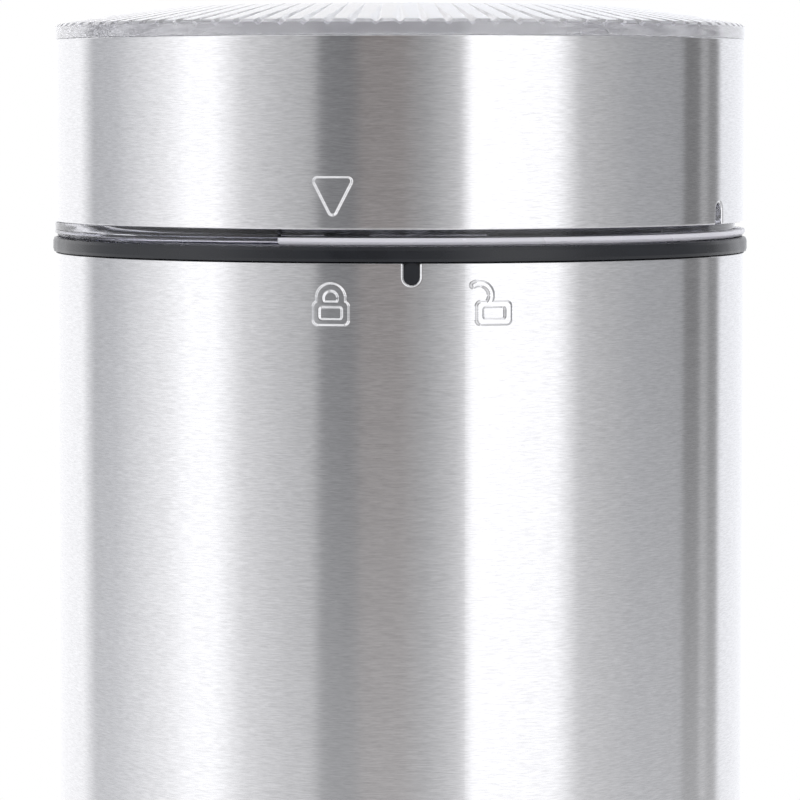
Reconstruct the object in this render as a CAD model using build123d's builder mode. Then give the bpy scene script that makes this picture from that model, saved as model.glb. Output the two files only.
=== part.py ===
from build123d import *
from math import acos, cos, hypot, pi, radians, sin, tan
import os

# A cordless burr coffee grinder in a brushed steel cylinder, with a twist-lock lid.
# Millimetres, +Z up, origin at the middle of the foot's underside. The front faces -Y.
# Azimuths are degrees round the body: 0 is the front and they grow towards +X.

os.makedirs("parts", exist_ok=True)

# ---------------------------------------------------------------- driving dimensions

BODY_R = 45.0  # outside of the steel shells
SHEET = 0.5  # steel thickness
TRIM_R = 45.25  # black rings stand a little proud of the steel
FRAME_R = 44.2  # outside of the mouldings under the steel
SLIP = 0.1  # gap between parts that slide into each other

FOOT_TOP = 1.4
CUP_TOP = 50.0
SKIRT_BASE = 50.15  # underside of the body's lower black ring
SLEEVE_BASE = 52.0
DECK_BASE = 56.0  # partition over the grounds cup
DECK_TOP = 59.0
CHAMBER_FLOOR = 130.0
CHAMBER_TOP = 147.5
SLEEVE_TOP = 176.0
RIM_TOP = 178.0
LID_BASE = 178.15
BAND_BASE = 180.0
BAND_TOP = 203.5
COVER_EDGE = 205.4
SHOULDER_TOP = 207.7
CROWN = 208.3

MARK_AZIMUTH = -10.4  # pointer on the lid and closed padlock on the body
LID_TURN = 25.0  # from the closed padlock to the open one
BODY_KEY_AZIMUTH = 1.8
LID_KEY_AZIMUTH = 63.6
KEY_WIDTH = 2.4
KEY_HEIGHT = 2.9

COLUMN_R = 37.8  # circle of the four screw columns
COLUMN_COUNT = 4
SCREW_R = 1.45

GEAR_MODULE = 0.75
SUN_TEETH = 12
PLANET_TEETH = 18
RING_TEETH = SUN_TEETH + 2 * PLANET_TEETH
PRESSURE_ANGLE = radians(25)
GEAR_BASE = 111.5
GEAR_TOP = 118.0
PLANET_ORBIT = (SUN_TEETH + PLANET_TEETH) * GEAR_MODULE / 2
PLANET_COUNT = 3

SPINDLE_R = 4.0
MOTOR_R = 17.9
MOTOR_BASE = 64.0
MOTOR_TOP = 108.0
CELL_R = 9.2
CELL_LENGTH = 65.0
CELL_ORBIT = 31.5

# ---------------------------------------------------------------- shared shapes


def outward(azimuth, height, radius):
    """A plane that faces out of the body's side, with its x to the viewer's right."""
    turn = radians(azimuth)
    return Plane(
        origin=(radius * sin(turn), -radius * cos(turn), height),
        x_dir=(cos(turn), sin(turn), 0),
        z_dir=(sin(turn), -cos(turn), 0),
    )


def upright(azimuth):
    """The plane through Z whose x runs outward at an azimuth and whose y runs up."""
    turn = radians(azimuth)
    return Plane(
        origin=(0, 0, 0),
        x_dir=(sin(turn), -cos(turn), 0),
        z_dir=(-cos(turn), -sin(turn), 0),
    )


def place(azimuth, radius, height=0.0):
    """The point at an azimuth, a radius and a height."""
    turn = radians(azimuth)
    return (radius * sin(turn), -radius * cos(turn), height)


def wall(outer, inner, low, high, mode=Mode.ADD):
    """A round wall about Z, or a disc where inner is 0."""
    with BuildSketch(Plane.XY.offset(low)) as section:
        Circle(outer)
        if inner:
            Circle(inner, mode=Mode.SUBTRACT)
    extrude(section.sketch, amount=high - low, mode=mode)


def arc_wall(outer, inner, low, high, azimuth, span, mode=Mode.ADD):
    """The stretch of such a wall that is centred on an azimuth and spans some degrees."""
    with BuildSketch(upright(azimuth - span / 2)) as section:
        with Locations(((outer + inner) / 2, (low + high) / 2)):
            Rectangle(outer - inner, high - low)
    revolve(section.sketch, axis=Axis.Z, revolution_arc=span, mode=mode)


def turned(points, mode=Mode.ADD):
    """A solid turned about Z from a closed outline of (radius, height) points."""
    with BuildSketch(Plane.XZ) as section:
        with BuildLine():
            Polyline(*points, close=True)
        make_face()
    revolve(section.sketch, axis=Axis.Z, mode=mode)


def post(x, y, radius, low, high, mode=Mode.ADD):
    """An upright cylinder away from the axis."""
    with BuildSketch(Plane.XY.offset(low)) as section:
        with Locations((x, y)):
            Circle(radius)
    extrude(section.sketch, amount=high - low, mode=mode)


def block(low, high, mode=Mode.ADD):
    """A box between two corners."""
    size = [b - a for a, b in zip(low, high)]
    with Locations(low):
        Box(*size, align=(Align.MIN, Align.MIN, Align.MIN), mode=mode)


def peg(azimuth, height, radius, inner, outer, mode=Mode.ADD):
    """A cylinder that lies along a radius of the body, from inner to outer."""
    with BuildSketch(outward(azimuth, height, inner)) as section:
        Circle(radius)
    extrude(section.sketch, amount=outer - inner, mode=mode)


def columns():
    """Azimuths of the four screw columns."""
    return [45 + 360 / COLUMN_COUNT * k for k in range(COLUMN_COUNT)]


def keep(part, name):
    """Labels a finished piece and writes it."""
    part.label = name
    export_step(part, f"parts/{name}.step")


# ---------------------------------------------------------------- pressed marks

MARK_RISE = 0.22
MARK_ROOT = 0.3  # how far the marks reach into the steel


def pointer_outline():
    """A triangle that points down, with rounded corners."""
    with BuildSketch() as mark:
        with BuildLine():
            Polyline((-2.7, 2.5), (2.7, 2.5), (0, -2.9), close=True)
        make_face()
        fillet(mark.vertices(), 0.5)
    return mark.sketch


def padlock_outline(shut):
    """A padlock with a window in its body, its shackle shut or swung open to the left."""
    body_width, body_height = 4.6, 3.0
    outer, inner = 1.8, 0.92
    with BuildSketch() as mark:
        with Locations((0, body_height / 2)):
            RectangleRounded(body_width, body_height, 0.7)
        if shut:
            with Locations((0, 3.55)):
                Circle(outer)
                Circle(inner, mode=Mode.SUBTRACT)
            with Locations((0, 3.2)):
                Rectangle(2 * inner, 0.8, mode=Mode.SUBTRACT)
            for side in (-1, 1):
                with Locations((side * (outer + inner) / 2, 3.1)):
                    Rectangle(outer - inner, 1.0)
        else:
            with BuildLine():
                hook = CenterArc((-1.45, 4.05), (outer + inner) / 2 - 0.1, -55, 215)
                offset(hook, amount=0.42)
            make_face()
            with Locations((-0.85, 2.95)):
                Rectangle(0.9, 0.7)
        with Locations((0, 1.5)):
            RectangleRounded(2.75, 1.45, 0.3, mode=Mode.SUBTRACT)
    return mark.sketch


def pressed_mark(outline, azimuth, height):
    """An outline that stands proud of the steel, its face bent round the body."""
    with BuildPart() as mark:
        with BuildSketch(outward(azimuth, height, BODY_R - MARK_ROOT)):
            add(outline)
        extrude(amount=2)
        wall(BODY_R + MARK_RISE, 0, height - 10, height + 10, mode=Mode.INTERSECT)
    return mark.part


def key_notch(azimuth, low, high, rounded_up):
    """A slot with one round end through the steel: rounded_up puts the round end on top."""
    radius = KEY_WIDTH / 2
    straight = high - low - radius
    centre = high - radius if rounded_up else low + radius
    middle = low + straight / 2 if rounded_up else high - straight / 2
    with BuildSketch(outward(azimuth, 0, BODY_R - 2)) as slot:
        with Locations((0, centre)):
            Circle(radius)
        with Locations((0, middle)):
            Rectangle(KEY_WIDTH, straight)
    extrude(slot.sketch, amount=4, mode=Mode.SUBTRACT)


# ---------------------------------------------------------------- lid

RIB_COUNT = 96
RIB_START_R = 31.0
RIB_DEPTH = 0.45  # at the rim; the flutes fade out towards the middle
DOG_AZIMUTHS = [MARK_AZIMUTH + 120 * k for k in range(3)]
LATCH_AZIMUTHS = [MARK_AZIMUTH + 60 + 120 * k for k in range(3)]
LATCH_LOW = 171.9
LATCH_HIGH = 173.3
STEP_AZIMUTH = -19.2  # where the groove under the steel band begins

shoulder_foot = (BODY_R - 0.5, COVER_EDGE + 0.05)
flute_run = shoulder_foot[0] - RIB_START_R
flute_drop = shoulder_foot[1] - RIB_DEPTH - SHOULDER_TOP - 0.1

with BuildPart() as flute:
    flute_start = Plane(
        origin=(RIB_START_R, 0, SHOULDER_TOP + 0.1),
        x_dir=(0, 1, 0),
        z_dir=(flute_run, 0, flute_drop),
    )
    with BuildSketch(flute_start):
        with BuildLine():
            Polyline((-0.95, 0.7), (0.95, 0.7), (0, 0), close=True)
        make_face()
    extrude(amount=hypot(flute_run, flute_drop) + 2)

with BuildPart() as lid_cover:
    with BuildSketch(Plane.XZ):
        with BuildLine():
            Polyline(
                (0, CROWN - 2.2),
                (30.5, SHOULDER_TOP - 2.2),
                (40.2, BAND_TOP - 0.1),
                (40.2, BAND_TOP - 5),
                (42.0, BAND_TOP - 5),
                (42.0, BAND_TOP),
                (BODY_R, BAND_TOP),
                (BODY_R, COVER_EDGE - 0.35),
                shoulder_foot,
                (RIB_START_R + 0.5, SHOULDER_TOP),
            )
            TangentArc((0, CROWN), (RIB_START_R + 0.5, SHOULDER_TOP), tangent=(1, 0))
            Line((0, CROWN), (0, CROWN - 2.2))
        make_face()
    revolve(axis=Axis.Z)
    with PolarLocations(0, RIB_COUNT):
        add(flute.part, mode=Mode.SUBTRACT)
keep(lid_cover.part, "lid_cover")

lid_pointer = pressed_mark(pointer_outline(), MARK_AZIMUTH, 183.9)

with BuildPart() as lid_band:
    wall(BODY_R, BODY_R - SHEET, BAND_BASE, BAND_TOP)
    add(lid_pointer)
    key_notch(LID_KEY_AZIMUTH, BAND_BASE - 1, BAND_BASE + KEY_HEIGHT, rounded_up=True)
keep(lid_band.part, "lid_band")

with BuildPart() as lid_liner:
    turned(
        [
            (39.4, 169.2),
            (41.0, 169.2),
            (41.0, LID_BASE),
            (44.6, LID_BASE),
            (BODY_R, LID_BASE + 0.4),
            (BODY_R, BAND_BASE - 0.05),
            (44.4, BAND_BASE - 0.05),
            (44.4, BAND_TOP - 0.1),
            (42.2, BAND_TOP - 0.1),
            (42.2, BAND_BASE + 2),
            (39.4, BAND_BASE - 1),
        ]
    )
    for azimuth in DOG_AZIMUTHS:
        arc_wall(41.2, 39.2, 169.0, 171.6, azimuth, 9, mode=Mode.SUBTRACT)
    # Each latch spring rides in a groove, and leaves it by a slot once the lid is unlocked.
    for azimuth in LATCH_AZIMUTHS:
        arc_wall(41.3, 40.25, LATCH_LOW - 0.2, LATCH_HIGH + 0.2, azimuth - LID_TURN / 2,
                 LID_TURN + 16, mode=Mode.SUBTRACT)
        arc_wall(41.3, 40.25, 169.0, LATCH_LOW, azimuth - LID_TURN, 16, mode=Mode.SUBTRACT)
    # A groove under the band runs round the right-hand half and stops at a square step.
    arc_wall(BODY_R + 1, 43.7, LID_BASE + 0.85, BAND_BASE + 0.0, STEP_AZIMUTH + 90, 180,
             mode=Mode.SUBTRACT)
    # A rib for the seal on the outside of the skirt.
    wall(41.2, 40.35, 175.2, 177.0, mode=Mode.SUBTRACT)
    # The key that stops the band turning on the liner.
    with BuildSketch(outward(LID_KEY_AZIMUTH, 0, 44.2)) as key:
        with Locations((0, BAND_BASE + KEY_HEIGHT / 2 - 0.2)):
            Rectangle(KEY_WIDTH - 0.4, KEY_HEIGHT - 0.4)
    extrude(key.sketch, amount=0.65)
keep(lid_liner.part, "lid_liner")

with BuildPart() as lid_seal:
    wall(41.22, 40.4, 175.3, 176.9)
    fillet(lid_seal.edges().filter_by(GeomType.CIRCLE).group_by(SortBy.RADIUS)[-1], 0.3)
keep(lid_seal.part, "lid_seal")

# ---------------------------------------------------------------- hopper

THROAT_R = 41.3
SHELF_TOP = 164.5
STOP_AZIMUTH = 270.0
STOP_SPAN = 4.0
COLLAR_R = 31.0
FUNNEL_FOOT = 155.2
SWITCH_AZIMUTH = 90.0
PIN_ORBIT = 39.8
PIN_R = 1.2

with BuildPart() as hopper:
    turned(
        [
            (44.3, CHAMBER_TOP),
            (44.3, SLEEVE_TOP),
            (44.65, SLEEVE_TOP),
            (TRIM_R - 0.1, SLEEVE_TOP + 0.15),
            (TRIM_R, SLEEVE_TOP + 0.5),
            (TRIM_R, RIM_TOP - 0.5),
            (TRIM_R - 0.15, RIM_TOP - 0.12),
            (TRIM_R - 0.5, RIM_TOP),
            (THROAT_R, RIM_TOP),
            (THROAT_R, 167.4),
            (42.1, 167.4),
            (42.1, 165.8),
            (THROAT_R, 165.8),
            (THROAT_R, SHELF_TOP),
            (38.0, SHELF_TOP),
            (COLLAR_R, FUNNEL_FOOT),
            (COLLAR_R, CHAMBER_TOP),
            (32.6, CHAMBER_TOP),
            (32.6, FUNNEL_FOOT - 1.6),
            (39.6, SHELF_TOP - 1.9),
            (43.0, SHELF_TOP - 1.9),
            (43.0, CHAMBER_TOP),
        ]
    )
    arc_wall(42.3, THROAT_R + 0.05, 165.6, 167.6, STOP_AZIMUTH, STOP_SPAN)
    for azimuth in LATCH_AZIMUTHS:
        arc_wall(43.3, THROAT_R - 1, LATCH_LOW - 0.3, LATCH_HIGH + 0.3, azimuth, 32,
                 mode=Mode.SUBTRACT)
    for azimuth in columns():
        x, y, _ = place(azimuth, COLUMN_R)
        post(x, y, 3.4, CHAMBER_TOP, 156.5)
        with BuildSketch(outward(azimuth, 0, COLUMN_R)) as web:
            with Locations((0, (CHAMBER_TOP + 156.5) / 2)):
                Rectangle(2.4, 156.5 - CHAMBER_TOP)
        extrude(web.sketch, amount=43.6 - COLUMN_R)
        post(x, y, SCREW_R + 0.05, CHAMBER_TOP - 1, 154.5, mode=Mode.SUBTRACT)
    x, y, _ = place(SWITCH_AZIMUTH, PIN_ORBIT)
    post(x, y, PIN_R + 0.06, SHELF_TOP - 3, SHELF_TOP + 0.5, mode=Mode.SUBTRACT)
    # Room under the shelf for the pin's collar to rise.
    post(x, y, PIN_R + 0.9, 158.0, 161.9, mode=Mode.SUBTRACT)
    with BuildSketch(outward(BODY_KEY_AZIMUTH, 0, 44.0)) as key:
        with Locations((0, SLEEVE_TOP - (KEY_HEIGHT - 0.3) / 2)):
            Rectangle(KEY_WIDTH - 0.5, KEY_HEIGHT - 0.3)
        fillet(key.vertices().group_by(Axis.Z)[0], 0.8)
    extrude(key.sketch, amount=0.75)
keep(hopper.part, "hopper")

with BuildPart() as lock_ring:
    wall(THROAT_R - 0.2, 39.0, SHELF_TOP + SLIP, 168.7)
    for azimuth in DOG_AZIMUTHS:
        arc_wall(40.85, 39.5, 168.6, 171.3, azimuth, 7.5)
    # The flange that holds the ring in the hopper, and its gap for the stop.
    wall(41.9, THROAT_R - 0.4, 166.0, 167.2)
    arc_wall(42.5, THROAT_R - 0.15, 165.5, 167.7, STOP_AZIMUTH - LID_TURN / 2,
             LID_TURN + STOP_SPAN + 0.6, mode=Mode.SUBTRACT)
    # The ramp under the ring that lets the interlock pin rise as the lid opens.
    pin_rise = 1.2
    reach = PIN_ORBIT * sin(radians(LID_TURN / 2))
    slope = pin_rise / (2 * reach)
    ramp_start = reach + 1.5
    ramp_end = -reach - 2
    with BuildSketch(outward(SWITCH_AZIMUTH - LID_TURN / 2, 0, 37)) as ramp:
        with BuildLine():
            base = SHELF_TOP + SLIP - 0.01
            Polyline(
                (ramp_start, base),
                (ramp_end, base),
                (ramp_end, base + slope * (ramp_start - ramp_end)),
                close=True,
            )
        make_face()
    extrude(ramp.sketch, amount=5.5, mode=Mode.SUBTRACT)
keep(lock_ring.part, "lock_ring")

with BuildPart() as lid_latch:
    for azimuth in LATCH_AZIMUTHS:
        ends = [place(azimuth + side * 14, 43.0)[:2] for side in (-1, 1)]
        middle = place(azimuth, 40.55)[:2]
        with BuildSketch(Plane.XY.offset(LATCH_LOW)) as strip:
            with BuildLine():
                bow = ThreePointArc(ends[0], middle, ends[1])
                offset(bow, amount=0.15)
            make_face()
        extrude(strip.sketch, amount=LATCH_HIGH - LATCH_LOW)
keep(lid_latch.part, "lid_latch")

with BuildPart() as interlock_pin:
    x, y, _ = place(SWITCH_AZIMUTH, PIN_ORBIT)
    post(x, y, PIN_R, 159.6, SHELF_TOP + 0.05)
    post(x, y, PIN_R + 0.7, 159.6, 160.4)
    fillet(interlock_pin.faces().sort_by(Axis.Z)[-1].edges(), 0.3)
keep(interlock_pin.part, "interlock_pin")

with BuildPart() as interlock_switch:
    block((37.3, -6.3, 152.2), (42.3, 6.3, 158.2))
    chamfer(interlock_switch.edges().filter_by(Axis.Z), 0.3)
    with Locations((39.8, -3.2, 155.2), (39.8, 3.2, 155.2)):
        Cylinder(0.9, 8, rotation=(0, 90, 0), mode=Mode.SUBTRACT)
    post(PIN_ORBIT, 0, 0.8, 158.0, 159.4)
    for y in (-4.5, 0, 4.5):
        block((39.6, y - 0.9, 149.2), (40.0, y + 0.9, 152.4))
keep(interlock_switch.part, "interlock_switch")

# ---------------------------------------------------------------- burrs and their adjustment

CARRIER_TOP = 149.1
KEYWAY_AZIMUTHS = [60.0, 180.0, 300.0]
KEYWAY_R = 34.7
KEY_SPRING_ORBIT = 32.4
BURR_SEAT = 138.2
CONE_FOOT = 139.6
CONE_FOOT_R = 17.4
CONE_TIP = 151.5
CONE_TIP_R = 9.0


def groove_cutter(foot, tip, depth, half_width, skew):
    """A V-shaped cutter laid along a cone's side between two (radius, height) points."""
    run, rise = tip[0] - foot[0], tip[1] - foot[1]
    length = hypot(run, rise)
    along = Vector(run / length, 0, rise / length)
    out = Vector(rise / length, 0, -run / length)
    middle = Vector((foot[0] + tip[0]) / 2, 0, (foot[1] + tip[1]) / 2)
    lean = along * cos(radians(skew)) + Vector(0, 1, 0) * sin(radians(skew))
    side = lean.cross(out)
    plane = Plane(origin=middle - lean * length, x_dir=side, z_dir=lean)
    with BuildPart() as cutter:
        with BuildSketch(plane):
            with BuildLine():
                height = 4 * depth
                width = half_width * height / depth
                sign = 1 if (plane.y_dir.dot(out) > 0) == (depth > 0) else -1
                Polyline(
                    (-width, sign * (abs(height) - abs(depth))),
                    (width, sign * (abs(height) - abs(depth))),
                    (0, -sign * abs(depth)),
                    close=True,
                )
            make_face()
        extrude(amount=2 * length)
    return cutter.part


cone_foot, cone_tip = (CONE_FOOT_R, CONE_FOOT), (CONE_TIP_R, CONE_TIP)
cone_middle = ((CONE_FOOT_R + CONE_TIP_R) / 2, (CONE_FOOT + CONE_TIP) / 2)
coarse = groove_cutter(cone_middle, (7.0, 154.0), 2.4, 1.5, 32)
fine = groove_cutter(cone_foot, cone_middle, 0.55, 0.42, 24)


with BuildPart() as cone_burr:
    turned(
        [
            (SPINDLE_R + 0.02, BURR_SEAT),
            (CONE_FOOT_R, BURR_SEAT),
            cone_foot,
            cone_tip,
            (SPINDLE_R + 0.02, CONE_TIP),
        ]
    )
    with PolarLocations(0, 7):
        add(coarse, mode=Mode.SUBTRACT)
    with PolarLocations(0, 42):
        add(fine, mode=Mode.SUBTRACT)
keep(cone_burr.part, "cone_burr")

with BuildPart() as tooth_gap:
    with BuildSketch(Plane(origin=(14.2, 0, 146.3), x_dir=(0, 1, 0), z_dir=(4.1, 1.9, -6.3))):
        RegularPolygon(0.62, 3)
    extrude(amount=12, both=True)

with BuildPart() as ring_burr:
    turned(
        [
            (18.3, CONE_FOOT + 0.1),
            (21.0, CONE_FOOT + 0.1),
            (21.0, 147.0),
            (25.0, 147.0),
            (25.0, 149.0),
            (17.2, 149.0),
            (14.4, 146.0),
        ]
    )
    with PolarLocations(0, 36):
        add(tooth_gap.part, mode=Mode.SUBTRACT)
    for azimuth in KEYWAY_AZIMUTHS:
        x, y, _ = place(azimuth, 22.9)
        post(x, y, 1.3, 146, 150, mode=Mode.SUBTRACT)
keep(ring_burr.part, "ring_burr")

with BuildPart() as burr_carrier:
    wall(29.8, 21.1, 141.2, CARRIER_TOP)
    wall(25.1, 20, 147.0, CARRIER_TOP + 1, mode=Mode.SUBTRACT)
    for azimuth in KEYWAY_AZIMUTHS:
        with BuildSketch(outward(azimuth, 0, 29.0)) as tongue:
            with Locations((0, 144.0)):
                Rectangle(6.0, 5.6)
        extrude(tongue.sketch, amount=5.4)
        x, y, _ = place(azimuth, 22.9)
        post(x, y, 1.05, 142.5, 150, mode=Mode.SUBTRACT)
keep(burr_carrier.part, "burr_carrier")

with BuildPart() as burr_screws:
    for azimuth in KEYWAY_AZIMUTHS:
        x, y, _ = place(azimuth, 22.9)
        post(x, y, 1.0, 143.0, 149.0)
        post(x, y, 1.9, 149.0, 150.1)
        block((x - 1.3, y - 0.22, 149.6), (x + 1.3, y + 0.22, 151), mode=Mode.SUBTRACT)
keep(burr_screws.part, "burr_screws")

with BuildPart() as adjust_ring:
    turned(
        [
            (27.0, CARRIER_TOP + SLIP),
            (COLLAR_R - 0.15, CARRIER_TOP + SLIP),
            (COLLAR_R - 0.15, 155.4),
            (29.6, 155.4),
            (27.0, 152.2),
        ]
    )
    for azimuth in (90, 270):
        with BuildSketch(outward(azimuth, 0, 27.6)) as lug:
            with Locations((0, 156.6)):
                Rectangle(7, 8.4)
            fillet(lug.vertices().group_by(Axis.Z)[-1], 2)
        extrude(lug.sketch, amount=2.6)
    # Thread starts, shown as shallow rings.
    for level in (150.4, 151.9, 153.4):
        wall(COLLAR_R, COLLAR_R - 0.55, level, level + 0.5, mode=Mode.SUBTRACT)
    # Click dots for the grind settings, raised on the flat rim.
    for step in range(1, 12):
        x, y, _ = place(MARK_AZIMUTH - 66 + 11 * step, 30.2)
        post(x, y, 0.28 if step % 5 else 0.45, 155.3, 155.6)
keep(adjust_ring.part, "adjust_ring")


def coil_spring(radius, wire, low, high, turns):
    """A compression spring about Z."""
    rise = high - low - 2 * wire
    with BuildPart() as coil:
        with BuildLine():
            path = Helix(rise / turns, rise, radius, center=(0, 0, low + wire))
        with BuildSketch(Plane(origin=path @ 0, z_dir=path % 0)):
            Circle(wire)
        sweep(path=path)
    return coil.part


key_spring = coil_spring(1.6, 0.3, 131.1, 141.1, 6)

with BuildPart() as carrier_springs:
    with Locations(*[place(azimuth, KEY_SPRING_ORBIT) for azimuth in KEYWAY_AZIMUTHS]):
        add(key_spring)
keep(carrier_springs.part, "carrier_springs")

# ---------------------------------------------------------------- grinding chamber and chute

CHUTE_HALF = 9.0
CHUTE_FRONT = -36.0
CHUTE_BACK = -24.0
CHUTE_WALL = 1.2
HUB_R = 12.0
BEARING_R = 9.5
BEARING_BASE = 123.6
BEARING_TOP = 129.4
GEARBOX_EARS = [60.0, 180.0, 300.0]
EAR_ORBIT = 24.6

with BuildPart() as grind_chamber:
    wall(32.4, 0, 128.0, CHAMBER_TOP)
    wall(FRAME_R, 0, 146.0, CHAMBER_TOP)
    for azimuth in KEYWAY_AZIMUTHS:
        with BuildSketch(outward(azimuth, 0, 28.0)) as boss:
            with Locations((0, 137.5)):
                Rectangle(10, 19)
        extrude(boss.sketch, amount=8.2)
    block((-CHUTE_HALF, CHUTE_FRONT, 128.0), (CHUTE_HALF, CHUTE_BACK + 4, 138.5))
    wall(HUB_R, 0, 124.0, 128.0)
    for azimuth in GEARBOX_EARS:
        x, y, _ = place(azimuth, EAR_ORBIT)
        post(x, y, 3.0, 123.5, 128.0)
        post(x, y, 1.25, 123.0, 127.8, mode=Mode.SUBTRACT)
    # Inside: the round chamber, the keyways and the way out to the chute.
    wall(30.2, 0, CHAMBER_FLOOR, 150, mode=Mode.SUBTRACT)
    for azimuth in KEYWAY_AZIMUTHS:
        with BuildSketch(outward(azimuth, 0, 28.0)) as keyway:
            with Locations((0, 141.0)):
                Rectangle(6.4, 20)
        extrude(keyway.sketch, amount=KEYWAY_R - 28.0, mode=Mode.SUBTRACT)
    inside = CHUTE_HALF - CHUTE_WALL
    block((-inside, CHUTE_FRONT + CHUTE_WALL, 127), (inside, CHUTE_BACK - CHUTE_WALL, 137.2),
          mode=Mode.SUBTRACT)
    # The bearing's seat, open below, with a lip over it.
    wall(BEARING_R + 0.02, 0, 123.0, BEARING_TOP, mode=Mode.SUBTRACT)
    wall(5.2, 0, 123.0, 131.0, mode=Mode.SUBTRACT)
    for azimuth in columns():
        x, y, _ = place(azimuth, COLUMN_R)
        post(x, y, SCREW_R + 0.3, 145, 149, mode=Mode.SUBTRACT)
    # A window for the interlock switch's leads.
    block((38.6, -5.6, 145), (41.0, 5.6, 149), mode=Mode.SUBTRACT)
keep(grind_chamber.part, "grind_chamber")

with BuildPart() as grounds_chute:
    block((-CHUTE_HALF, CHUTE_FRONT, DECK_TOP), (CHUTE_HALF, CHUTE_BACK, 128.0))
    fillet(grounds_chute.edges().filter_by(Axis.Z), 1.5)
    block(
        (-inside, CHUTE_FRONT + CHUTE_WALL, DECK_TOP - 1),
        (inside, CHUTE_BACK - CHUTE_WALL, 129.0),
        mode=Mode.SUBTRACT,
    )
    with BuildSketch(Plane.XY.offset(125.5)) as collar:
        with Locations((0, (CHUTE_FRONT + CHUTE_BACK) / 2)):
            RectangleRounded(2 * CHUTE_HALF + 3, CHUTE_BACK - CHUTE_FRONT + 0.0, 2)
            Rectangle(2 * inside, CHUTE_BACK - CHUTE_FRONT - 2 * CHUTE_WALL, mode=Mode.SUBTRACT)
    extrude(collar.sketch, amount=2.5)
keep(grounds_chute.part, "grounds_chute")

with BuildPart() as shaft_seal:
    wall(6.7, SPINDLE_R + 0.05, CHAMBER_FLOOR, CHAMBER_FLOOR + 1.4)
    fillet(shaft_seal.faces().sort_by(Axis.Z)[-1].outer_wire().edges(), 0.6)
keep(shaft_seal.part, "shaft_seal")

with BuildPart() as sweeper:
    wall(8.0, SPINDLE_R + 0.02, 131.8, BURR_SEAT)
    for turn in range(4):
        with BuildSketch(Plane.XY.offset(130.7).rotated((0, 0, 90 * turn))) as vane:
            with BuildLine():
                root = Line((7.0, -1.4), (7.0, 1.4))
                outer = ThreePointArc(root @ 1, (19.0, 3.4), (29.3, 0.2))
                tip = Line(outer @ 1, (29.3, -1.6))
                ThreePointArc(tip @ 1, (19.0, 1.6), root @ 0)
            make_face()
        extrude(vane.sketch, amount=5.0)
keep(sweeper.part, "sweeper")

with BuildPart() as spindle:
    wall(SPINDLE_R, 0, GEAR_TOP + 0.4, 151.0)
    wall(2.5, 0, 151.0, 156.5)
    chamfer(spindle.faces().sort_by(Axis.Z)[-1].edges(), 0.5)
    for level in (152.0, 152.9, 153.8, 154.7, 155.5):
        wall(2.7, 2.2, level, level + 0.35, mode=Mode.SUBTRACT)
keep(spindle.part, "spindle")

with BuildPart() as burr_nut:
    with BuildSketch(Plane.XY.offset(CONE_TIP)):
        RegularPolygon(4.6, 6, major_radius=False)
        Circle(2.55, mode=Mode.SUBTRACT)
    extrude(amount=3.6)
    chamfer(burr_nut.faces().sort_by(Axis.Z)[-1].outer_wire().edges(), 0.5)
keep(burr_nut.part, "burr_nut")

with BuildPart() as spindle_bearing:
    wall(BEARING_R, 7.9, BEARING_BASE, BEARING_TOP)
    wall(5.6, SPINDLE_R + 0.02, BEARING_BASE, BEARING_TOP)
    with PolarLocations(6.75, 9):
        with Locations((0, 0, (BEARING_BASE + BEARING_TOP) / 2)):
            Sphere(1.12)
keep(spindle_bearing.part, "spindle_bearing")

# ---------------------------------------------------------------- planetary gearbox


def involute(radius, base):
    """The involute function at a radius of a gear with that base circle."""
    angle = acos(min(1.0, base / radius))
    return tan(angle) - angle


def gear_points(teeth, addendum, dedendum, slack):
    """The outline of an involute gear. Slack thins each tooth at the pitch circle."""
    pitch = teeth * GEAR_MODULE / 2
    base = pitch * cos(PRESSURE_ANGLE)
    root, tip = pitch - dedendum, pitch + addendum
    half = pi / (2 * teeth) - slack / (2 * pitch) + involute(pitch, base)
    low = max(root, base)
    radii = [low + (tip - low) * k / 4 for k in range(5)]
    flank = [(r, half - involute(r, base)) for r in radii]
    if root < base:
        flank.insert(0, (root, half))
    points = []
    for tooth in range(teeth):
        centre = 2 * pi * tooth / teeth
        rising = [(r, centre - a) for r, a in flank]
        falling = [(r, centre + a) for r, a in reversed(flank)]
        points += [(r * cos(a), r * sin(a)) for r, a in rising + falling]
    return points


def gear_prism(teeth, low, high, addendum, dedendum, slack, mode=Mode.ADD):
    """An upright gear about Z with its first tooth on +X."""
    with BuildSketch(Plane.XY.offset(low)) as section:
        with BuildLine():
            Polyline(*gear_points(teeth, addendum, dedendum, slack), close=True)
        make_face()
    extrude(section.sketch, amount=high - low, mode=mode)


with BuildPart() as ring_teeth:
    gear_prism(RING_TEETH, 109.0, 119.0, 0.95 * GEAR_MODULE + 0.2, 0.88 * GEAR_MODULE, -0.08)

with BuildPart() as gearbox_housing:
    wall(21.3, 0, 110.0, 121.0)
    wall(21.3, 0, 121.0, 123.4)
    for azimuth in GEARBOX_EARS:
        x, y, _ = place(azimuth, EAR_ORBIT)
        post(x, y, 3.2, 121.0, 123.4)
        with BuildSketch(outward(azimuth, 122.2, 18)) as web:
            Rectangle(6.4, 2.4)
        extrude(web.sketch, amount=EAR_ORBIT - 18)
        post(x, y, 1.5, 120, 125, mode=Mode.SUBTRACT)
    with Locations(Rotation(0, 0, 180 / RING_TEETH)):
        add(ring_teeth.part, mode=Mode.SUBTRACT)
    wall(18.4, 0, 118.2, 121.0, mode=Mode.SUBTRACT)
    wall(6.02, 0, 120.0, 124.0, mode=Mode.SUBTRACT)
keep(gearbox_housing.part, "gearbox_housing")

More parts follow.
